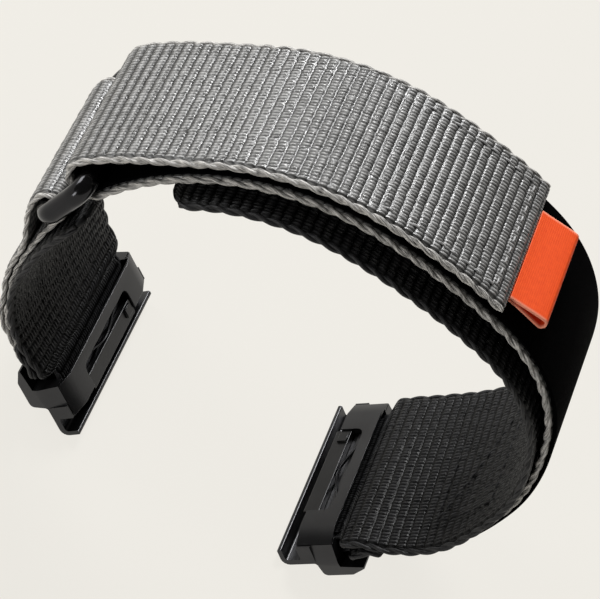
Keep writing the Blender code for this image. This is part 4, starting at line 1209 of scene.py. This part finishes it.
def tab_line():
    """Runs the ribbon of the pull tab out from the flap, round its loop and back."""
    root = rail(FLAP_REACH + FLAP_HINGE_GAP, FLAP_BAND_MIDDLE)
    out = outward(FLAP_REACH)
    along = np.array([out[1], -out[0]])
    lift = math.radians(TAB_LIFT)
    ahead = math.cos(lift) * along + math.sin(lift) * out
    above = math.cos(lift) * out - math.sin(lift) * along
    reach = TAB_LENGTH - TAB_LOOP_RADIUS
    legs = [(reach * share, TAB_ROOT_SPREAD + (TAB_LOOP_RADIUS - TAB_ROOT_SPREAD) * smoothstep(share))
            for share in np.linspace(0.0, 1.0, TAB_STEPS + 1)]
    top = [root + d * ahead + h * above for d, h in legs]
    low = [root + d * ahead - (h + TAB_BELLY * (d / reach) ** 2) * above for d, h in reversed(legs)]
    middle, tall = TAB_BELLY / 2, TAB_LOOP_RADIUS + TAB_BELLY / 2
    turn = [root + (reach + TAB_LOOP_RADIUS * math.sin(a)) * ahead + (tall * math.cos(a) - middle) * above
            for a in np.linspace(0.0, math.pi, TAB_STEPS + 2)[1:-1]]
    return [(*point, FLAP_REACH) for point in top + turn + low]


def pull_tab():
    """Sweeps the ribbon across its width, with a fused edge on both sides that the finish paints paler,
    partly as a painted highlight.
    """
    path = Path(tab_line(), PATH_STEP)
    half, thin = TAB_WIDTH / 2, TAB_RIBBON / 2
    face = np.linspace(-half, half, TAB_FACE_POINTS)
    level = np.full(TAB_FACE_POINTS, thin)
    angles = np.linspace(0.0, math.pi, EDGE_STEPS + 2)[1:-1]
    bulge, bend = thin / 2 * np.sin(angles), thin * np.cos(angles)
    across = np.concatenate([face, half + bulge, face[::-1], -half - bulge])
    offset = np.concatenate([level, bend, -level, -bend])
    # The edge share marks where the finish paints the fused edge paler, partly as a painted highlight.
    edge = np.clip((np.abs(across) - (half - TAB_EDGE)) / TAB_EDGE, 0.0, 1.0)
    weave = coordinates(path.gone[:, None] / RIBBON_LINE, across / RIBBON_LINE, edge)
    cloth = Cloth()
    cloth.tube(path.surface(np.arange(path.last + 1), across - TAB_SHIFT, offset), weave)
    return cloth.make("pull_tab_ribbon", [RIBBON])


mount(pull_tab(), "tab", "pull_tab")

# %% [markdown]
# ## Sewing
# A stitch lies on the face between two holes, and sinks at both ends. Each is
# a short, thick thread, bent down at its ends, so rows of them catch the light
# as on the real strap: a frame on the flap, round the hook tape under it, and
# a box where the black webbing is sewn to the band.

# %% Stitches
STITCH_PITCH = 0.00175
STITCH_LENGTH = 0.00130
STITCH_RADIUS = 0.00013
STITCH_SINK = 0.00016
STITCH_REST = 0.6
STITCH_TIP = 0.02
STITCH_DEPTH = 0.1
STITCH_RINGS = 7
STITCH_SIDES = 6
SEAM_HEIGHT = 0.3


def stitch_row(cloth, path, start, stop, height):
    """Adds stitches along a line between two (distance, across) points on a strip's face."""
    start, stop = np.array(start), np.array(stop)
    length = np.linalg.norm(stop - start)
    count = max(1, int(round(length / STITCH_PITCH)))
    run = (stop - start) / length
    shares = np.linspace(-0.5, 0.5, STITCH_RINGS)[:, None]
    turns = circle(STITCH_SIDES)
    bend = (2.0 * shares) ** 2
    fat = STITCH_RADIUS * np.sqrt(np.maximum(1.0 - bend ** 2, STITCH_TIP))
    wide = fat * np.cos(turns)
    up = height + STITCH_RADIUS * STITCH_REST - STITCH_SINK * bend + fat * np.sin(turns)
    for k in range(count):
        spots = start + (stop - start) * (k + 0.5) / count + run * shares * STITCH_LENGTH
        rows = path.at(spots[:, 0])
        ahead = (spots[:, 0] - path.gone[rows])[:, None] - run[1] * wide
        flat = (path.points[rows][:, None] + path.along[rows][:, None] * ahead[..., None]
                + path.normal[rows][:, None] * up[..., None])
        points = np.stack([flat[..., 0], spots[:, 1:] + run[0] * wide, flat[..., 1]], axis=-1)
        cloth.tube(points, coordinates(shares * 2.0 + k, turns / TURN, STITCH_DEPTH))


def seam(name, path, corners, thickness, finish):
    """Sews along a chain of corners on the outer face of a strip."""
    cloth = Cloth()
    for start, stop in zip(corners, corners[1:]):
        stitch_row(cloth, path, start, stop, thickness / 2 + RIB_RELIEF * SEAM_HEIGHT)
    return cloth.make(name, [finish])


# %% Seam of the flap
PATCH_SEAM_END = 0.0021
PATCH_SEAM_START = 0.0176
PATCH_SEAM_SIDE = 0.0019

wide = HALF_BAND - PATCH_SEAM_SIDE
low, high = band_path.gone[-1] - PATCH_SEAM_START, band_path.gone[-1] - PATCH_SEAM_END
patch_frame = [(high, -wide), (high, wide), (low, wide), (low, -wide), (high, -wide)]
mount(seam("flap_seam", band_path, patch_frame, BAND_THICKNESS, SEWING), "flap")

# %% Seam of the right black webbing
BOX_START = 0.0500
BOX_STOP = 0.0590
BOX_SIDE = 0.0092


def gone_at(path, place):
    """Gives the distance along a path where it last passes a place of the base curve."""
    return path.gone[path.last - int(np.argmin(np.abs(path.place[::-1] - place)))]


low, high = gone_at(right_path, BOX_STOP), gone_at(right_path, BOX_START)
box = [(low, -BOX_SIDE), (low, BOX_SIDE), (high, BOX_SIDE), (low, -BOX_SIDE), (high, -BOX_SIDE),
       (high, BOX_SIDE)]
mount(seam("right_box_seam", right_path, box, CARRIER_THICKNESS, DARK_SEWING), "band")

# %% [markdown]
# ## Studio
# The photograph has a pale, even background and soft light from above. The
# key lamp on the left gives the ribs their highlights, one high at the back
# catches the adapters and the crest, and a weak one at the front left lights
# the near edges. The world adds a little. The floor is a wide dish whose rim
# rises to a wall, so that low views end in it too. It shows part of its own
# colour to the camera and in reflections, so that it stays pale, and still
# takes the strap's shadow.

# %% Floor, lamps and world
PALE = (0.862, 0.838, 0.783, 1.0)
FLOOR_RADIUS = 3.0
COVE_RADIUS = 0.4
COVE_STEPS = 8
WALL_HEIGHT = 0.9
FLOOR_SIDES = 96
FLOOR_GLOW = 0.93
WORLD_STRENGTH = 0.12
LAMP_AIM = (0.0, 0.0, 0.028)
LAMPS = (
    ("key_lamp", (-0.60, 0.10, 0.36), 0.26, 2.1),
    ("back_lamp", (-0.18, 0.50, 0.54), 0.24, 5.6),
    ("front_lamp", (-0.34, -0.62, 0.20), 0.20, 1.1),
)


def floor_finish():
    """Makes the floor's material, partly self-lit for the camera and for reflections."""
    finish = Finish("pale_floor", Base_Color=PALE, Roughness=0.9, Specular_IOR_Level=0.1)
    glow = finish.add("ShaderNodeEmission", inputs={"Color": PALE, "Strength": 1.0})
    ray = finish.add("ShaderNodeLightPath")
    seen = ray.other("Is Camera Ray") + ray.other("Is Glossy Ray") + ray.other("Is Transmission Ray")
    share = seen.math("MINIMUM", 1.0) * FLOOR_GLOW
    plain = Value(finish, finish.shader.outputs[0])
    mix = finish.add("ShaderNodeMixShader", inputs={0: share, 1: plain, 2: glow})
    finish.feed(finish.tree.nodes["Material Output"].inputs["Surface"], mix)
    return finish.material


def floor():
    """Lays the floor, a disc whose rim rises in a cove to a low wall."""
    middle = FLOOR_RADIUS - COVE_RADIUS
    profile = [(middle + COVE_RADIUS * math.sin(angle), COVE_RADIUS * (1.0 - math.cos(angle)))
               for angle in np.linspace(0.0, math.pi / 2, COVE_STEPS)]
    profile.append((FLOOR_RADIUS, WALL_HEIGHT))
    points = [(reach * math.cos(turn), reach * math.sin(turn), up)
              for reach, up in profile for turn in circle(FLOOR_SIDES)]
    index = np.arange(len(points)).reshape(len(profile), FLOOR_SIDES)
    faces = [index[0].tolist()] + row_quads(index[1:], index[:-1])
    add_mesh("floor", points, faces, [floor_finish()])


def lamp(name, place, size, power):
    """Hangs a square lamp that faces the middle of the strap."""
    data = bpy.data.lights.new(name, "AREA")
    data.size = size
    data.energy = power
    hung = add_object(name, data)
    hung.location = place
    hung.rotation_euler = (Vector(place) - Vector(LAMP_AIM)).to_track_quat("Z", "Y").to_euler()


def studio():
    """Sets the world, the floor and the lamps."""
    world = bpy.data.worlds.new("studio")
    world.use_nodes = True
    background = world.node_tree.nodes["Background"]
    background.inputs["Color"].default_value = PALE
    background.inputs["Strength"].default_value = WORLD_STRENGTH
    bpy.context.scene.world = world
    bpy.context.scene.view_settings.view_transform = "Standard"
    floor()
    for name, place, size, power in LAMPS:
        lamp(name, place, size, power)


studio()
print("lamps", [name for name, *_ in LAMPS])
